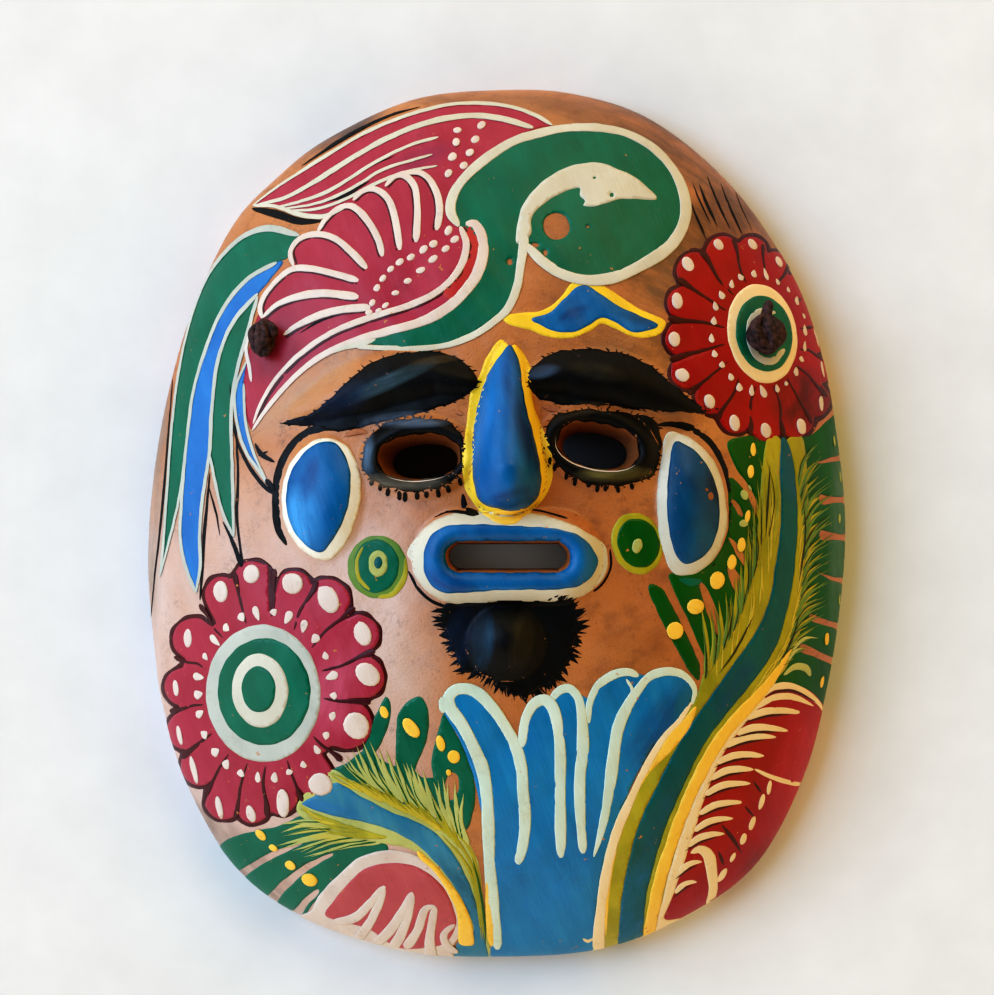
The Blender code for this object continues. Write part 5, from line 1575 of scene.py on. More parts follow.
# %% The two flowers
for side, middle, ends, tips, base, ring, ring_turn, dabs, red, pale in (
        ("left_flower", (-55.0, -40.0), LEFT_ENDS, LEFT_TIPS, 20.0, (13.5, 16.2), 3.0,
         dabs_round((-54.6, -40.4), (15.9, 19.6), 0.0, 26, 2.2, 1.0, None), crimson, cool_white),
        ("right_flower", (62.4, 44.7), RIGHT_ENDS, RIGHT_TIPS, 12.5, (8.1, 11.8), 10.7,
         dabs_round((61.6, 44.8), (10.9, 13.9), 5.0, 24, 1.9, 0.85, (-0.25, 1.0)), deep_red, cream)):
    centre = np.array(middle)
    ends = [(u, v, 0.95 * radius) for u, v, radius in ends]
    paint_films(side + "_edge", plum, film(petal_wheel(middle, ends, base, 0.9), 0, wobble=0.3))
    paint_films(side + "_petals", red, film(petal_wheel(middle, ends, base), 1))
    paint_strokes(side + "_gaps", plum, petal_gaps(centre, ends, np.array(ring), 0.42), 8)
    paint_films(side + "_ring", pale, film(ellipse(middle, ring, ring_turn), 2))
    paint_dots(side + "_tips", rosy_white, tips, 2)
    paint_strokes(side + "_dabs", rosy_white, dabs, 8)
paint_films("flower_greens", green, film(ellipse((-54.8, -39.6), (10.9, 12.6), 2), 3),
    film(ellipse((62.8, 44.7), (6.6, 9), 10), 3))
paint_films("left_flower_target", white, film(ellipse((-55.7, -39.3), (6.6, 8.7), 4), 4))
paint_films("left_flower_core", green, film(ellipse((-56, -39), (4, 5.4), 4), 5))
paint_strokes("right_flower_curl", white,
    [stroke(((65.4, 49.6), (62, 49.9), (59.8, 47.4), (59.6, 43), (61.2, 39.4), (64.6, 38.2), (67.6, 41)),
        (0.7, 1.1, 1, 0.8), 4)])

# %% Dry hatching over the right flower
DRY_HATCHES = ((44.6, 78.4, 0.25), (46, 80.6, 0.3), (47.6, 80, 0.5), (49.4, 82.2, 0.35),
    (50.6, 79.4, 0.4), (52.6, 80.4, 0.3), (53.8, 77.4, 0.4), (56, 78.6, 0.25), (45.6, 75.6, 0.2))
paint_strokes("dry_hatching", black,
    [stroke(((u, v), (u + 1.6, v - 4.2), (u + 4.4, v - 10.2)), half_width, 0, "leaf")
     for u, v, half_width in DRY_HATCHES], 6)

# %% [markdown]
# ## The tulip and the fronds
# The blue tulip rises from the chin end. A stem sweeps up on each side of it, and fine hatching
# turns the bands beside the stems into fronds. A hatch is worked out between two given lines:
# every stroke starts on the first and ends near the second.

# %% Hatching
def hatch(base, tips, count, half_width, level, bend, reach=(0.75, 1.1)):
    base, tips = smooth_points(base, 0.5), smooth_points(tips, 0.5)
    made = []
    for k in range(count):
        share = (k + rng.uniform(0.1, 0.9)) / count
        start = base[int(share * (len(base) - 1))]
        end = tips[int(share * (len(tips) - 1))]
        way = (end - start) * rng.uniform(*reach)
        side = np.array((-way[1], way[0])) * (bend + rng.uniform(-0.05, 0.05))
        made.append(stroke((start, start + 0.5 * way + side, start + way),
                           half_width * rng.uniform(0.7, 1.3), level, "tip", spacing=0.6))
    return made


# %% Tulip
TULIP = ((-2, -106), (-1.4, -99.4), (-2, -91), (-2.9, -76), (-3.6, -69), (-4.8, -62.3), (-6.8, -55.8),
    (-9.4, -49.6), (-12.4, -44.8), (-12.4, -41.6), (-9, -39), (-5.6, -39.4), (-1, -43.4), (2.4, -46.8),
    (5.2, -50.4), (6.4, -46.4), (8.8, -42.2), (12, -41.2), (15.6, -39.4), (18.8, -39.6), (21.8, -41),
    (24.2, -37.6), (28.4, -35), (32.4, -35.2), (36.2, -35.8), (40.2, -34.8), (44.4, -35.8), (46.2, -39.6),
    (44, -45), (38.4, -50.6), (34.4, -56.4), (31.2, -63), (28.4, -69.6), (26.2, -76.6), (24.4, -84),
    (23.4, -91), (22.8, -99.4), (22.6, -106))
paint_films("tulip_blue", tulip_blue, film(TULIP, 1, [ellipse((6.9, -67.2), (0.7, 0.9), sides=7)]))
paint_strokes("tulip_lines", tulip_white,
    [stroke(((0.1, -100.2), (-0.3, -95), (-0.9, -89), (-1.6, -82), (-1.9, -76), (-2.1, -69), (-2.5, -63),
        (-3.5, -57.5), (-5.6, -52.5), (-8.2, -47.4), (-11, -43.4), (-11.2, -40.6), (-8.8, -38.9),
        (-5, -39.6), (-1.2, -43.2), (2.2, -48.2), (4.6, -53), (5.8, -58), (6.1, -63), (6.6, -69),
        (6.2, -75), (4.9, -80.2)), (1.3, 1.35, 1.45, 1.4, 1.3, 1.35, 1.3), 2),
    stroke(((5.9, -52.6), (6.6, -46.6), (8.6, -42.6), (11.4, -41.6), (13.4, -44), (14.5, -49),
        (14.9, -55), (14.9, -66), (15.1, -78.6)), (1, 1.3, 1.25, 1.3, 1.2), 2),
    stroke(((12.4, -42), (14.6, -39.4), (17.2, -38.9), (19.2, -41.4), (20, -46), (20.2, -53), (19.5, -60),
        (19.6, -68), (20.3, -77.6)), (0.9, 1.1, 1.45, 1.2, 1.1), 2),
    stroke(((-12.9, -40.8), (-12.6, -42.6), (-12.7, -44.6)), (0.8, 1, 0.8), 2),
    stroke(((21.6, -47), (21.8, -42.4), (23.6, -38.4), (26.8, -35.9), (30.6, -34.9), (33.3, -35.9)),
        (0.6, 0.9, 1, 0.9), 2), stroke(((30.4, -36.6), (31.8, -39), (31.4, -41.8)), (0.35, 0.4), 2),
    stroke(((45.9, -42.6), (46.5, -39), (44.2, -35.9), (40.2, -34.8), (36, -36), (33.2, -39.2),
        (30.4, -43.6), (28.4, -48.6), (27.4, -55), (26.5, -62), (25, -70.6), (22.8, -78.4)), (0.6, 0.9,
        1.1, 1.45, 1.4, 1.1, 0.4), 2)])
paint_strokes("tulip_edge", cream,
    [stroke(((45.8, -42), (42.8, -46.6), (39.6, -50), (36.4, -55), (33.6, -60.4), (31, -66), (28.8, -71),
        (27, -76.6), (25.6, -83), (24.6, -90), (24, -96), (23.9, -105)), (0.5, 0.8, 0.9, 1.2, 1.2, 1.3,
        1.5), 2), stroke(((20.3, -97.6), (21.4, -98.4), (22.6, -97.6)), (0.4, 0.7, 0.5), 2)])

# %% Right frond and its stem
STEM_LEFT = ((66.9, 19.6), (66.6, 12), (66.9, 4), (66.5, -4), (65.4, -11), (64.2, -18), (61.6, -24.4),
    (57.8, -30.2), (52.4, -37.8), (46.9, -45.6), (41.8, -53.6), (38.2, -60.8), (33.9, -69.6), (31.2, -79),
    (29.4, -88.6), (28.4, -106))
STEM_RIGHT = ((68.2, 19.6), (69.6, 15), (70.4, 8), (70.7, 0), (70.2, -8), (69.2, -16), (67, -25),
    (64.8, -30.4), (60.8, -36.4), (53.8, -45), (48.4, -52.4), (44.2, -61), (40.2, -70), (37.4, -78.6),
    (35, -88.6), (33.2, -106))
BAND_LEFT = ((63.6, 20), (62.2, 10), (61.4, 0), (59.8, -9), (56.6, -19), (52.4, -28), (48.6, -35.8),
    (46.4, -42), (42.6, -47), (39, -51.6), (35.2, -57.6), (31.8, -64.6), (29.2, -71), (27, -79),
    (25.6, -88), (24.8, -96), (24.6, -106))
BAND_RIGHT = ((72, 20), (73.2, 8), (73.4, -4), (72.8, -16), (71.2, -26), (68, -34), (62.8, -39.2),
    (57, -45.8), (53, -51.6), (48.8, -59.6), (45.4, -67), (42.8, -75), (40.6, -83.4), (38.6, -92),
    (37, -106))
paint_films("right_leaves", leaf_green,
    film(((35.6, -15.4), (36.6, -14.2), (39, -15.6), (41.6, -20), (45, -27), (47.6, -33), (47.4, -37),
        (44.6, -33.6), (41.2, -27.4), (37.4, -20))),
    film(((54.4, 19.2), (58.6, 20.6), (64, 20), (64.6, 4), (62.9, 0.6), (61, 5.8), (58.8, 9.6),
        (56.8, 12.2), (55.4, 15))),
    film(((62.8, -1.4), (62.4, -10), (58, -24), (51.8, -32), (49, -31.4), (45.4, -23.6), (41.6, -15.6),
        (40.6, -11.8), (45, -12), (50, -9.6), (53.2, -5), (54.7, 1), (54.4, 6), (54.6, 10.8), (56.8, 9.6),
        (59, 6.4), (61, 2)), 0, [((47.6, -14.2), (49, -14.6), (51.6, -20), (53, -25.6), (51.6, -25.8),
        (49.2, -20.2)), ((54.2, -10.8), (55.6, -10.2), (58, -14), (58.2, -19), (56.6, -17.6)),
        ((54.6, -3.4), (56.2, -4.4), (58.6, -8), (60.2, -12.6), (58.8, -11), (56.4, -7.2)), ((55.2, 5.6),
        (56.4, 5.2), (57.7, 3), (57.9, 1.6), (56.6, 2.6))]),
    film(((70, 20.4), (73.2, 20.6), (75.6, 22), (78, 24.4), (84, 28), (88, 10), (89, -12), (86, -32),
        (80.4, -46), (77.2, -43.4), (74, -40.4), (69, -38.2), (64.4, -38), (66, -32), (69.8, -24),
        (71, -8), (70.6, 8)), 0, [((75, 14.2), (79, 15.6), (84, 16.8), (84, 15.9), (79.4, 14.6)),
        ((76, 6.8), (78.4, 6.4), (84.6, 6.1), (84.6, 5), (80, 4.9), (76.4, 4.6)), ((76.2, -1.6),
        (79, -2.2), (84.8, -3.2), (84.8, -4.2), (80, -3.9), (76.4, -3.8)), ((75.6, -11.4), (79, -12.5),
        (85, -13.6), (85, -14.6), (79, -13.4)), ((74, -21.4), (76.8, -22.4), (84, -25), (83.6, -25.9),
        (77.4, -24), (73.6, -22.8)), ((72, -28.4), (75.2, -29.8), (82.2, -33.2), (81.6, -34.2),
        (74.6, -31.4), (71.2, -30))]))
paint_films("right_band_left", olive, film(BAND_LEFT + STEM_LEFT[::-1], 1))
paint_films("right_band_right", olive, film(STEM_RIGHT + BAND_RIGHT[::-1], 1))
paint_films("right_stem", teal, film(STEM_LEFT + STEM_RIGHT[::-1], 2))

# %% Right bud
COMB_BASE = ((60.4, -41.6), (63.6, -39.4), (62, -42.8), (57.2, -48.4), (53, -54.6), (50.4, -60.6),
    (48.2, -66.6), (46, -73.6), (43.6, -81), (40.8, -89), (39.4, -93), (44, -92.6), (49.6, -90.6),
    (56, -93), (46, -101), (36.4, -105), (37, -97), (38.6, -90), (40.6, -82), (43.2, -73.4),
    (46.6, -64.6), (50.6, -56), (55.4, -48.2))
paint_films("comb_red", deep_red,
    film(((61, -41), (65, -38.6), (69.4, -37.9), (73.6, -39.4), (77.4, -43.4), (84, -52), (82, -66),
        (74, -80), (62, -93), (50, -100), (38, -104), (38.6, -92), (41, -81), (45, -68.6), (50, -57.4),
        (55, -48.6)), 2))
paint_films("comb_cream", cream, film(COMB_BASE, 3))
paint_films("right_amber", amber,
    film(((69.2, -29.4), (62.4, -37.8), (57.6, -42.6), (53.8, -46.8), (50.6, -51), (48, -55.4),
        (45.4, -60.6), (43.2, -65.6), (41.2, -70.6), (39.6, -75.6), (37.8, -80.4), (36.6, -85),
        (35.6, -90), (34.6, -95.6), (34, -106), (37, -106), (37.4, -95.6), (38.4, -90.4), (39.4, -85.4),
        (40.8, -80.6), (42.4, -75.6), (44.2, -70.6), (46.2, -65.6), (48.6, -60.6), (50.9, -56),
        (53.4, -52), (56.4, -48), (60.2, -44), (63.6, -39.8), (66.2, -36)), 4),
    film(((46.9, -43), (44.4, -45.4), (41.4, -48.4), (39.3, -51), (37.4, -54.4), (35.8, -58.4),
        (38.4, -56.2), (41.2, -53.4), (43.8, -50.2), (45.8, -47.2)), 2))
paint_strokes("right_amber_strokes", amber,
    [stroke(((28.6, -74), (26.6, -82), (25.8, -89), (25.6, -97)), 0.6, 2, "leaf"),
    stroke(((36.4, -57.6), (33, -62.6), (30.6, -68)), 0.4, 2, "leaf"),
    stroke(((-2.4, -83), (-2.2, -89), (-1.7, -95), (-1.3, -99.4)), (0.2, 0.5, 0.8, 0.7))])

# %% Hatching of the right frond
LEFT_ROOTS = ((48.8, -37), (52.4, -31), (56.4, -23.6), (60, -13.6), (61.8, -6), (63.6, -3), (65.6, -5))
LEFT_POINTS = ((47.2, -21), (51.2, -18.4), (55, -15), (58, -6.6), (60.2, 6), (62.6, 17.6), (65.2, 19.4))
RIGHT_ROOTS = ((70.8, 11), (71.8, 2), (72.2, -7), (71.6, -15), (70.2, -22.6), (67.8, -30), (63.6, -37.4))
RIGHT_POINTS = ((75, 21), (78.2, 13), (79.6, 4), (79.8, -4.6), (79, -12.6), (77.2, -20.6), (73.4, -30.4))
paint_strokes("frond_olives_right", olive, hatch(LEFT_ROOTS, LEFT_POINTS, 24, 0.66, 2, -0.05)
              + hatch(RIGHT_ROOTS, RIGHT_POINTS, 24, 0.6, 2, 0.1, (0.5, 0.8)), 6)
paint_strokes("frond_mosses_right", moss,
              hatch(LEFT_ROOTS[:5], LEFT_POINTS[:5], 14, 0.42, 3, -0.05, (0.8, 1.05))
              + hatch(RIGHT_ROOTS, RIGHT_POINTS, 26, 0.44, 3, 0.12, (0.85, 1.05)), 6)
paint_strokes("frond_pales_right", pale_olive,
    [stroke(((67.4, -35.6), (70, -33.7), (72.6, -34), (73.8, -35.8)), (0.5, 0.8, 0.9)),
    stroke(((68.4, -32.2), (70.4, -29.8), (72.6, -29.4)), (0.5, 0.6, 0.3), 3, "tip"),
    stroke(((69.6, -29.6), (72.4, -27), (75.6, -26.9)), (0.5, 0.6, 0.4), 3, "tip")], 6)
paint_strokes("frond_yellows_right", ochre,
    hatch(((50, -38.6), (58, -27), (63.4, -14), (65, 0)),
          ((50.6, -30.6), (58.6, -17), (62.8, -3), (64.4, 15)), 12, 0.3, 3, -0.02)
    + hatch(((58.6, -42), (66, -32.6), (70.2, -21), (71.2, -6)),
            ((64.6, -35), (70.4, -24), (73, -12), (73.4, 4)), 14, 0.3, 3, 0.04), 6)
paint_strokes("frond_darks_right", umber, hatch(LEFT_ROOTS, LEFT_POINTS, 12, 0.16, 4, -0.05, (0.5, 0.95))
    + hatch(RIGHT_ROOTS, RIGHT_POINTS, 14, 0.16, 4, 0.1, (0.4, 0.85)) +
    [stroke(((72.2, 4), (72.5, -2), (71.8, -9), (71, -14)), 0.28, 4, "leaf"),
    stroke(((64.2, 14), (63.6, 4), (63.2, -3)), 0.26, 4, "leaf"),
    stroke(((66, -33.6), (69.2, -27.6), (71, -21.6)), 0.26, 4, "leaf"),
    stroke(((60.4, -21.6), (56, -30), (52.2, -35.4)), 0.26, 4, "leaf")], 6)
paint_dots("right_frond_dots", amber, [(41.9, -25.2, 2.2, 2), (46.7, -19.6, 2, 1.9),
    (51.8, -13.4, 2, 2, -20), (55.3, -9.1, 1.2, 1.7, -10), (57.5, -5, 1.2, 1.7, -5),
    (59, 1.7, 0.8, 1.5, -15), (59.7, 12.2, 0.85, 1.7, -10), (60.3, 17.4, 0.75, 1.6, 0),
    (77.6, -27.2, 1.2, 1.6), (76.5, -37.3, 0.95, 1.5)], 3)
paint_dots("right_frond_pale_dots", pale_olive, [(58.2, 6.8, 0.9, 1.2, 20), (58, 0.1, 1.1, 0.8, 0),
    (59.5, 8.4, 0.4, 0.7, 30), (79.3, 19.4, 0.5, 1.4), (80.8, 11, 0.5, 1.3), (80.6, 1.2, 0.6, 1.1),
    (80.6, -17.8, 0.5, 1.3)])
paint_strokes("ear_green", green, [stroke(((42.8, -12.9), (45.6, -13.8), (48.6, -13.4)), 0.9, 1, "leaf")])

# %% Comb of the right bud
COMB = (((58.8, -45.8), (71.5, -44.5)), ((56.2, -49.4), (68.4, -48.8)),
    ((53.8, -52.4), (65.6, -50.3)), ((51.6, -56.4), (62.8, -54.7)), ((50.2, -60.2), (60.3, -57.9)),
    ((49, -63.8), (59.6, -61.2)), ((47.6, -68.4), (57.8, -65.6)), ((46.4, -72.4), (55.5, -69.4)),
    ((44.8, -76), (53.5, -73)), ((42.6, -82.6), (48.2, -79.6)), ((42, -87), (47, -84.4)))


def part_way(root, tip, share, rise=0.0):
    """A place on the way along a tooth of the comb, raised a little."""
    return root[0] + share * (tip[0] - root[0]), root[1] + share * (tip[1] - root[1]) + rise


paint_strokes("comb_teeth_and_rim_highlight", cream,
    [stroke((root, part_way(root, tip, 0.34, 1.1), part_way(root, tip, 0.7, 0.8), tip), (0.8, 1, 0.8, 0.4))
     for root, tip in COMB] +
    [stroke(((61.4, -41.4), (65, -38.6), (69, -38.3), (73, -40), (76.2, -43), (77, -46.4)),
        (0.7, 0.9, 0.6, 0.5)),
    stroke(((60.6, -43.4), (65.4, -40.9), (70, -40.9), (74.4, -42.9)), (0.9, 0.8, 0.7, 0.3)),
    stroke(((60.6, -57.8), (65, -59.8), (70, -61.2), (74, -61.4)), (0.4, 0.55, 0.5)),
    # a thin pale line along the rim: a painted highlight on the rim's edge
    stroke(((76.8, -45.4), (77.4, -50), (76, -56), (73, -61)), 0.22),
    stroke(((45.6, -77.6), (47.8, -76.6), (49.8, -78.2), (50.6, -82.4), (50.8, -86.4), (49.4, -91)),
        (0.9, 1.4, 1.3, 1.4))])
paint_strokes("comb_shades", plum, [stroke(((60.2, -60.6), (62.2, -63.4)), 0.3, 3, "leaf"),
    stroke(((58.2, -66.4), (60.4, -69)), 0.3, 3, "leaf"),
    stroke(((52.8, -70.8), (55.6, -74.4), (57.6, -77.6)), 0.5, 3, "leaf"),
    stroke(((52, -77), (53.4, -80.4)), 0.4, 3, "leaf")] +
    [stroke(((root[0] - 0.6, root[1] - 1), part_way(root, tip, 0.38), part_way(root, tip, 0.8, -0.1)),
        0.3, 4, "leaf") for root, tip in COMB] +
    [stroke(((62.6, -40.9), (66, -39.5), (70, -39.5), (75, -42)), 0.32, 4, "leaf")])
paint_dots("comb_drops", cream, [(64, -62.1, 0.9, 2, 0), (62.2, -65.5, 0.9, 2, -5),
    (60, -70.6, 0.95, 2, -8), (57.9, -74.3, 0.95, 1.9, -5), (55.5, -78.5, 0.8, 1.5, -8),
    (53, -82.7, 1.1, 2.2, -15)])

# %% Lower left frond
STEM_UP = ((-45.6, -65.6), (-42, -63.6), (-37.8, -61), (-32, -64.2), (-25, -67.8), (-19.6, -69.9),
    (-14.6, -72.8), (-10, -78), (-6.6, -84.6), (-4.4, -91), (-2.8, -98), (-2, -106))
STEM_LOW = ((-45.4, -66.4), (-40, -68.4), (-33, -69.9), (-26, -71.8), (-20, -74.8), (-15, -79.2),
    (-10.4, -84.8), (-7.2, -90.6), (-5.5, -96), (-9.6, -99.2), (-9.4, -106))
paint_films("left_leaves", green,
    film(((-66, -76.4), (-61.5, -73.6), (-56.8, -72.4), (-50.6, -71), (-45, -68.8), (-36, -72),
        (-27, -75), (-26, -77.6), (-31.6, -79), (-37, -83.2), (-42.4, -88.6), (-45.4, -92.4), (-50, -98),
        (-60, -92), (-69, -82)), 0, [((-68, -87), (-60.4, -81.6), (-53, -77.4), (-46.6, -75.2),
        (-46.4, -75.8), (-52.6, -78.8), (-58.6, -82.6), (-66, -90)), ((-58, -93), (-52, -85.6),
        (-45.6, -80.6), (-39.4, -77.8), (-39, -78.4), (-44.6, -81.8), (-50.4, -87.2), (-55.4, -94.4)),
        ((-50.4, -95), (-46.4, -89.4), (-42.6, -86.2), (-42, -87), (-45, -90.4), (-48, -96))]),
    film(((-26.3, -40.8), (-25, -43), (-25.6, -47.6), (-27.4, -52), (-29.6, -54.6), (-31.6, -53.6),
        (-30.6, -49), (-28.2, -44.4))),
    film(((-23.8, -50), (-23.2, -45), (-20.6, -41.6), (-17.8, -40.9), (-16.2, -44), (-16.4, -50),
        (-18.4, -55.8), (-20.6, -60), (-23.6, -58.4))),
    film(((-12.4, -44.6), (-14, -49.6), (-15.4, -56), (-14.4, -62), (-11, -68.6), (-7.6, -72.4),
        (-5.6, -68), (-5.2, -61.6), (-6.8, -55.4), (-9.6, -49.6)), 0, [((-11, -58.6), (-12.2, -61.4),
        (-11, -65.4), (-9.2, -63), (-9.2, -59.6))]),
    film(((-39.4, -58.8), (-35.6, -56.6), (-31, -53.4), (-27.4, -55.6), (-24, -57.2), (-20, -58),
        (-17.6, -59.8), (-14, -60.4), (-11.6, -66.6), (-8, -73), (-6.4, -77), (-11, -72), (-20, -67.4),
        (-30, -63.4))))
paint_films("left_band", pale_olive,
    film(((-40, -58.2), (-34.6, -60.2), (-27, -63.6), (-18.6, -67.6), (-12, -70.6), (-7, -74.8),
        (-4.4, -80), (-3.2, -88), (-2.2, -96), (-1, -106), (-6.6, -106), (-7.6, -96), (-10.2, -88),
        (-15, -81.4), (-19.6, -77), (-27.6, -75.2), (-36, -73.6), (-43.4, -70.6), (-47.2, -66.6)), 1))
paint_films("left_stem", stem_blue, film(STEM_UP + STEM_LOW[::-1], 2))
paint_films("left_amber", amber,
    film(((-18.6, -77), (-14.6, -80.4), (-11, -84.6), (-7.8, -89.4), (-6, -94), (-5.4, -98), (-6, -99.2),
        (-8.9, -98.7), (-9.1, -95), (-9.6, -91), (-11.6, -86.6), (-14.6, -82), (-18, -79)), 5))

# %% Half flower at the chin
paint_films("half_flower_white", rosy_white,
    film(((-46, -94), (-43.6, -91), (-41.8, -87.4), (-37.8, -83.2), (-33.4, -79.2), (-28.6, -77.3),
        (-23.6, -77), (-19, -78.2), (-14.4, -81.4), (-10.8, -86), (-9, -91), (-8.6, -96.4),
        (-10.4, -99.6), (-11, -106), (-30, -106)), 4))
paint_films("half_flower_red", pale_crimson,
    film(((-40.4, -92), (-38.2, -88.4), (-34.8, -84.4), (-30.8, -81), (-26.2, -79.9), (-20.6, -80.2),
        (-15.8, -82.4), (-12.2, -86.2), (-10.2, -90.6), (-9.6, -94.4), (-12, -98.4), (-16, -99.6),
        (-22, -99.9), (-26, -98.2), (-30, -95.4), (-36, -93.6)), 5))
paint_strokes("half_flower_strokes", rosy_white,
    [stroke(((-38.4, -93.8), (-33.4, -92.6), (-29.4, -88.8), (-26.4, -85.2)), (1.5, 1.2, 0.9), 6),
    stroke(((-26.6, -85.4), (-28, -90), (-30.4, -94.6), (-33, -98)), (0.9, 1, 1.5), 6),
    stroke(((-28.6, -99), (-25, -95.4), (-21.8, -90.6), (-19.9, -86.6)), (1.6, 1.2, 0.9), 6),
    stroke(((-19.9, -86.8), (-20.8, -92), (-22.6, -96.6), (-25, -100.6)), (0.9, 1, 1.5), 6),
    stroke(((-21.4, -99.8), (-18.6, -95.4), (-17, -90.8), (-14.6, -89.8)), (1.6, 1.1, 1, 0.8), 6),
    stroke(((-14.6, -90), (-15.4, -94.6), (-15.8, -99), (-15, -104)), (0.9, 1.1, 1.7), 6),
    stroke(((-10, -94.2), (-12.4, -96.4), (-12, -98.8), (-9.6, -101)), (0.7, 0.9, 1.4), 6)])

# %% Hatching of the left frond
LEFT_FROND = ((-31, -61), (-26.6, -63.2), (-21, -66), (-14.6, -69), (-9.4, -73), (-6.6, -76.4))
LEFT_FROND_POINTS = ((-37.6, -56.6), (-32.6, -50.8), (-26, -53.4), (-19.4, -57.4), (-12.6, -60),
    (-7.6, -62))
LOW_FROND = ((-42, -69.8), (-37, -72.6), (-31, -74.4), (-26, -75.4))
LOW_FROND_POINTS = ((-52.6, -70.4), (-51.6, -74), (-50.6, -77.2), (-42.6, -78.8))
paint_strokes("frond_pales_left", pale_olive,
    hatch(LEFT_FROND, LEFT_FROND_POINTS, 22, 0.66, 2, 0.05, (0.85, 1.05))
    + hatch(LOW_FROND, LOW_FROND_POINTS, 10, 0.62, 2, -0.05, (0.85, 1.05)), 8)
paint_strokes("frond_olives_left", olive,
    hatch(((-33, -61.8), (-23, -66.6), (-13.6, -71.6), (-7, -78)),
          ((-39.4, -58.6), (-30, -61), (-19, -65.2), (-10.6, -70)), 22, 0.46, 3, 0.04)
    + hatch(((-38, -70.4), (-25, -74)), ((-46.6, -66.8), (-40, -73.4)), 12, 0.46, 3, 0.04) +
    [stroke(((k - 13, k - 73.2), (0.8 * k - 7.6, k - 79.6), (0.5 * k - 4.9, -87), (0.4 * k - 3.6, -98)),
        0.42, 3, "leaf") for k in range(3)], 6)
paint_strokes("frond_greens_left", leaf_green,
    hatch(LEFT_FROND, LEFT_FROND_POINTS, 9, 0.22, 3, 0.05, (0.5, 0.95))
    + hatch(LOW_FROND, LOW_FROND_POINTS, 5, 0.2, 3, -0.05, (0.5, 0.95)) +
    [stroke(((-5.8, -78.6), (-4.4, -84), (-3.2, -91), (-2.6, -99)), 0.3, 4, "leaf")], 6)
paint_strokes("frond_yellows_left", ochre,
    hatch(((-33.6, -62.4), (-22, -67.4), (-12, -72.8)), ((-39.6, -58.6), (-30, -62), (-18, -66.6)),
          14, 0.5, 4, 0.03)
    + hatch(((-42, -69.2), (-37, -71)), ((-47, -65.6), (-44, -69.4)), 5, 0.4, 3, 0.05), 6)
paint_dots("left_frond_dots", amber, [(-55.5, -73.3, 1.2, 1.6, 35), (-52.6, -76.3, 1.2, 1),
    (-48.6, -80.4, 1.4, 1.3, 20), (-44.1, -83.8, 2, 1.9, 25), (-20.2, -48.1, 1.5, 2.6, 35),
    (-13.3, -51.7, 1.1, 1.9, 10), (-10.2, -54.9, 1.4, 1.6, 20), (-11.4, -58.6, 0.6, 0.8),
    (-26.6, -44.4, 0.9, 1.4, 20)], 3)

# %% [markdown]
# ## The lace
# The lace is round dark leather, and a knot stops it at each temple. The knots are heaped turns
# of the same lace, so each is one strand wound over a small core, and its cut end stands out.

# %% Leather
lace_leather = new_material("lace_leather", 0.72, 0.0, 0.5, 0.3)
tree, shader = lace_leather.node_tree, shader_of(lace_leather)
fibre = noise(tree, 900.0, 4.0, (1.0, 1.0, 0.3))
worn_spots = noise(tree, 260.0, 3.0)
colour = mix_colours(tree, between(tree, fibre.outputs[0], 0.35, 0.70), srgb(30, 17, 18),
                     srgb(92, 64, 62))
colour = mix_colours(tree, between(tree, worn_spots.outputs[0], 0.55, 0.75, 0.0, 0.6), colour,
                     srgb(12, 6, 8))
tree.links.new(colour, shader.inputs['Base Color'])
tree.links.new(between(tree, fibre.outputs[0], 0.3, 0.7, 0.6, 0.85), shader.inputs['Roughness'])
add_bump(lace_leather, fibre.outputs[0], 0.0004, 0.9)

# %% Lace
STRAND_SIDES = 14
STRAND_STEP = 0.0004      # between the points along a strand, in metres


def strand(points, radius, turns, ridges, depth):
    """A closed tube along a smooth route, its skin lightly ridged like twisted leather."""
    line = smooth_points(np.asarray(points) / STRAND_STEP, 1.0) * STRAND_STEP
    count = len(line)
    way = np.gradient(line, axis=0)
    way /= np.linalg.norm(way, axis=1)[:, None]
    side = np.cross(way[0], (0.3, 0.2, 1.0))
    a = circle_angles(STRAND_SIDES)
    rings = []
    for k in range(count):
        side = side - way[k] * np.dot(side, way[k])
        side /= np.linalg.norm(side)
        other = np.cross(way[k], side)
        end = min(k, count - 1 - k)
        ridge = np.cos(ridges * a + turns * 2 * math.pi * k / count)
        size = radius * (1.0 - depth * 0.5 + 0.5 * depth * ridge)
        size = size * math.sqrt(1.0 - (1.0 - min(end / 3.0, 1.0)) ** 2 * 0.75)
        rings.append(line[k] + size[:, None] * (np.cos(a)[:, None] * side + np.sin(a)[:, None] * other))
    points, faces = strip(rings)
    faces = [face[::-1] for face in faces]
    top, last = len(points), len(points) - STRAND_SIDES
    for k in range(STRAND_SIDES):
        m = (k + 1) % STRAND_SIDES
        faces += [(m, k, top), (last + k, last + m, top + 1)]
    return np.vstack([points, line[:1], line[-1:]]), faces


cord_mesh = mesh_from("lace", *strand(lace_route, 0.5 * CORD_DIAMETER, 30.0, 2, 0.08), lace_leather)
lace = add_object("lace", cord_mesh)
lengths = np.linalg.norm(np.diff(lace_route, axis=0), axis=1)
print("lace:", len(cord_mesh.polygons), "faces, longest step", round(float(lengths.max()) / MM, 2), "mm")

# %% Knots
WINDING_STEPS = 150
CORE_ROWS, CORE_SIDES = 10, 18
KNOT_WELD = 0.000005      # metres


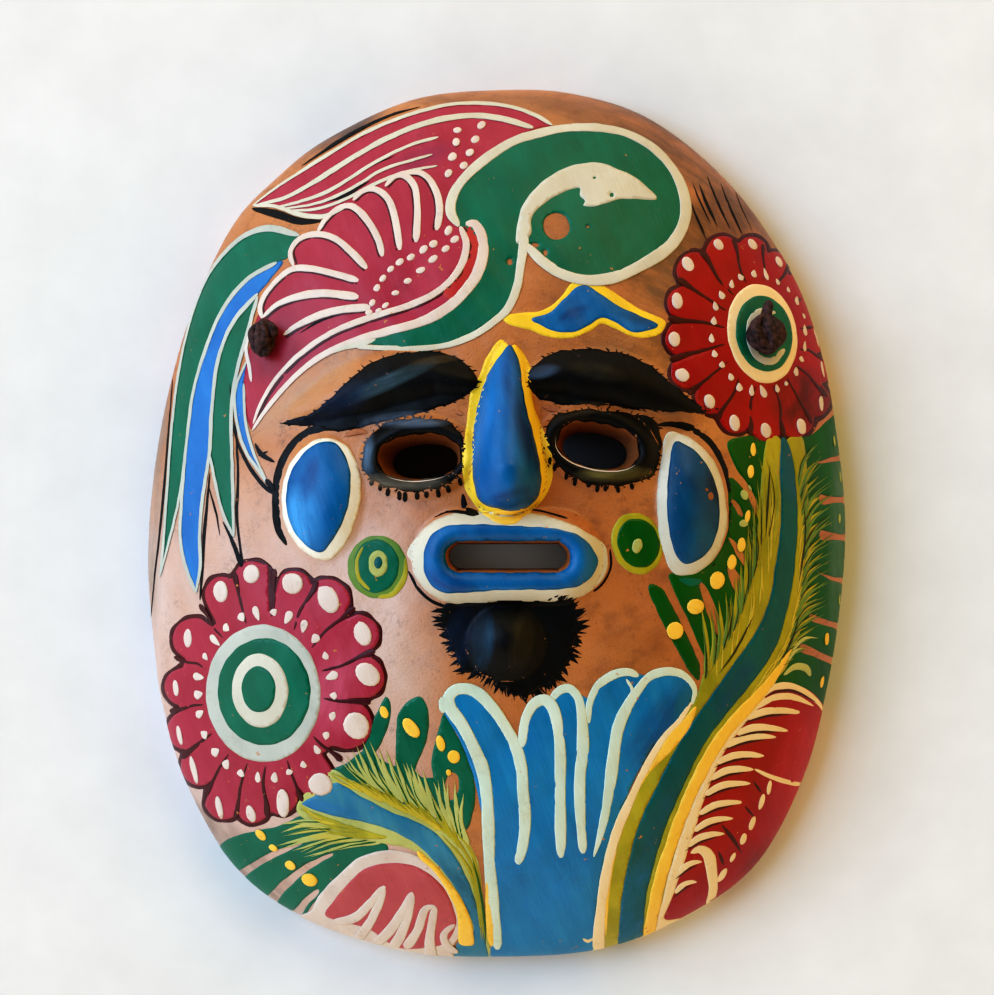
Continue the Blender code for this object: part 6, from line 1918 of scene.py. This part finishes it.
def knot(name, node, place, size, windings, lace_radius, tail):
    """One strand wound in a heap over a small core, inside the CAD knot's place."""
    spot, out = on_clay(to_sheet([place]), 0.3)
    spot, out = spot[0], out[0]
    up = np.array((0.0, 1.0, 0.0)) - out * out[1]
    up /= np.linalg.norm(up)
    across = np.cross(up, out)
    route = []
    for t in np.linspace(0.0, 1.0, WINDING_STEPS):
        a = 2 * math.pi * windings * t
        lean = math.pi * (0.9 * t + 0.08 * math.sin(7.0 * t))
        p = size[0] * (0.68 + 0.10 * math.sin(2.3 * a)) * math.cos(a) * math.cos(lean)
        q = size[1] * (0.68 + 0.08 * math.cos(1.7 * a)) * math.sin(a)
        r = size[2] * (0.95 + 0.75 * math.cos(a) * math.sin(lean))
        route.append(spot + (across * p + up * q + out * r) * MM)
    tail_way = across * math.cos(math.radians(tail[1])) + up * math.sin(math.radians(tail[1]))
    last = route[-1]
    route.append(0.5 * (last + spot + (tail_way * 0.55 * tail[0] + out * size[2]) * MM))
    route.append(spot + (tail_way * 0.8 * tail[0] + out * size[2] * 1.05) * MM)
    route.append(spot + (tail_way * tail[0] + out * size[2] * 0.95) * MM)
    a = circle_angles(CORE_SIDES)[:, None]
    core = []
    for j in range(CORE_ROWS + 1):
        polar = math.pi * j / CORE_ROWS
        wide = 0.72 * math.sin(polar) * (0.86 + 0.08 * np.sin(3 * a + 1.7 * j))
        core.append(spot + (across * size[0] * wide * np.cos(a) + up * size[1] * wide * np.sin(a)
                            + out * size[2] * (0.95 + 0.9 * math.cos(polar))) * MM)
    points, faces = joined([strand(route, lace_radius * MM, 12.0, 3, 0.18), strip(core)])
    mesh = mesh_from(name, points, faces, lace_leather)
    weld(mesh, KNOT_WELD)
    piece = add_object(name, mesh)
    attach(piece, "root")
    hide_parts(node)
    print(name, len(mesh.polygons), "faces")
    return piece


knots = [knot("lace_knot_left", "knot_left", HOLES[0], (3.7, 4.4, 2.6), 3.3, 1.25, (4.6, -70.0)),
         knot("lace_knot_right", "knot_right", (61.6, 43.8), (5.6, 4.8, 2.9), 4.2, 1.35, (8.0, 78.0))]
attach(lace, "root")
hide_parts("hanging_cord")

# %% [markdown]
# ## Floor and light
# The mask lies on a plain pale floor. A large cool light stands for a window high on the left,
# and a warm one for a lamp beyond the mask's top. The room's walls glow softly all round, warmer
# on the right, and it is dark overhead, so the shadows are cool on one side and warm on the other.
# Looked at straight, the walls are a plain pale grey. A very faint glow in the hollow, under the
# mouth, stands for the light that strays in below the rim.

# %% Floor
floor_mesh = bpy.data.meshes.new("floor")
FLOOR_HALF = 1.2          # metres
corners = ((-1, -1), (1, -1), (1, 1), (-1, 1))
floor_mesh.from_pydata([(x * FLOOR_HALF, y * FLOOR_HALF, 0.0) for x, y in corners], [], [(0, 1, 2, 3)])
plaster = new_material("plaster", 0.9, 0.0, 0.5, 0.1)
tree = plaster.node_tree
grain = noise(tree, 60.0, 4.0)
tree.links.new(mix_colours(tree, between(tree, grain.outputs[0], 0.3, 0.7), srgb(240, 240, 238),
                           srgb(234, 234, 232)), shader_of(plaster).inputs['Base Color'])
floor_mesh.materials.append(plaster)
floor = add_object("floor", floor_mesh)
print("floor:", 2 * FLOOR_HALF, "m across")

# %% Lights
def add_light(name, place, size, power, colour, aim=(0.0, 0.0, 0.0)):
    lamp = bpy.data.lights.new(name, 'AREA')
    lamp.shape = 'RECTANGLE'
    lamp.size, lamp.size_y = size
    lamp.energy = power
    lamp.color = colour
    holder = bpy.data.objects.new(name, lamp)
    holder.location = place
    holder.rotation_euler = (Vector(place) - Vector(aim)).to_track_quat('Z', 'Y').to_euler()
    scene.collection.objects.link(holder)
    return holder


add_light("window", (-1.8, 0.7, 2.0), (2.0, 2.0), 56.0, (0.40, 0.63, 0.96))
add_light("lamp", (0.9, 2.2, 2.0), (1.6, 1.6), 15.0, (1.0, 0.76, 0.32))
stray = add_light("stray_light", (0.0026, -0.008, 0.012), (0.024, 0.005), 0.00014, (1.0, 0.84, 0.68),
                  (0.0026, -0.008, 0.0))
stray.visible_camera = False

# %% The room round the mask
world = bpy.data.worlds.new("room")
world.use_nodes = True
tree = world.node_tree
room = tree.nodes['Background']
direction = add_node(tree, 'ShaderNodeTexCoord')
way = add_node(tree, 'ShaderNodeSeparateXYZ', {0: direction.outputs['Generated']})
right_side = between(tree, way.outputs['X'], -0.3, 0.6)
walls = between(tree, way.outputs['Z'], 0.50, 0.80, 1.0, 0.0)
strength = times(tree, walls, between(tree, right_side, 0.0, 1.0, 1.2, 1.0))
tree.links.new(strength, room.inputs['Strength'])
glow = mix_colours(tree, right_side, (1.0, 0.93, 0.82, 1.0), (1.0, 0.64, 0.18, 1.0))
seen = add_node(tree, 'ShaderNodeLightPath')
plain = mix_colours(tree, seen.outputs['Is Camera Ray'], glow, (0.8, 0.8, 0.79, 1.0))
tree.links.new(plain, room.inputs['Color'])
scene.world = world
scene.view_settings.view_transform = 'Standard'
scene.view_settings.look = 'High Contrast'
print("room:", len(tree.nodes), "nodes")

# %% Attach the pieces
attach(clay_shell, "root")
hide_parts("mask_shell")
for piece, paint_slot in painted:
    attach(piece, "root")
print("painted pieces:", len(painted))
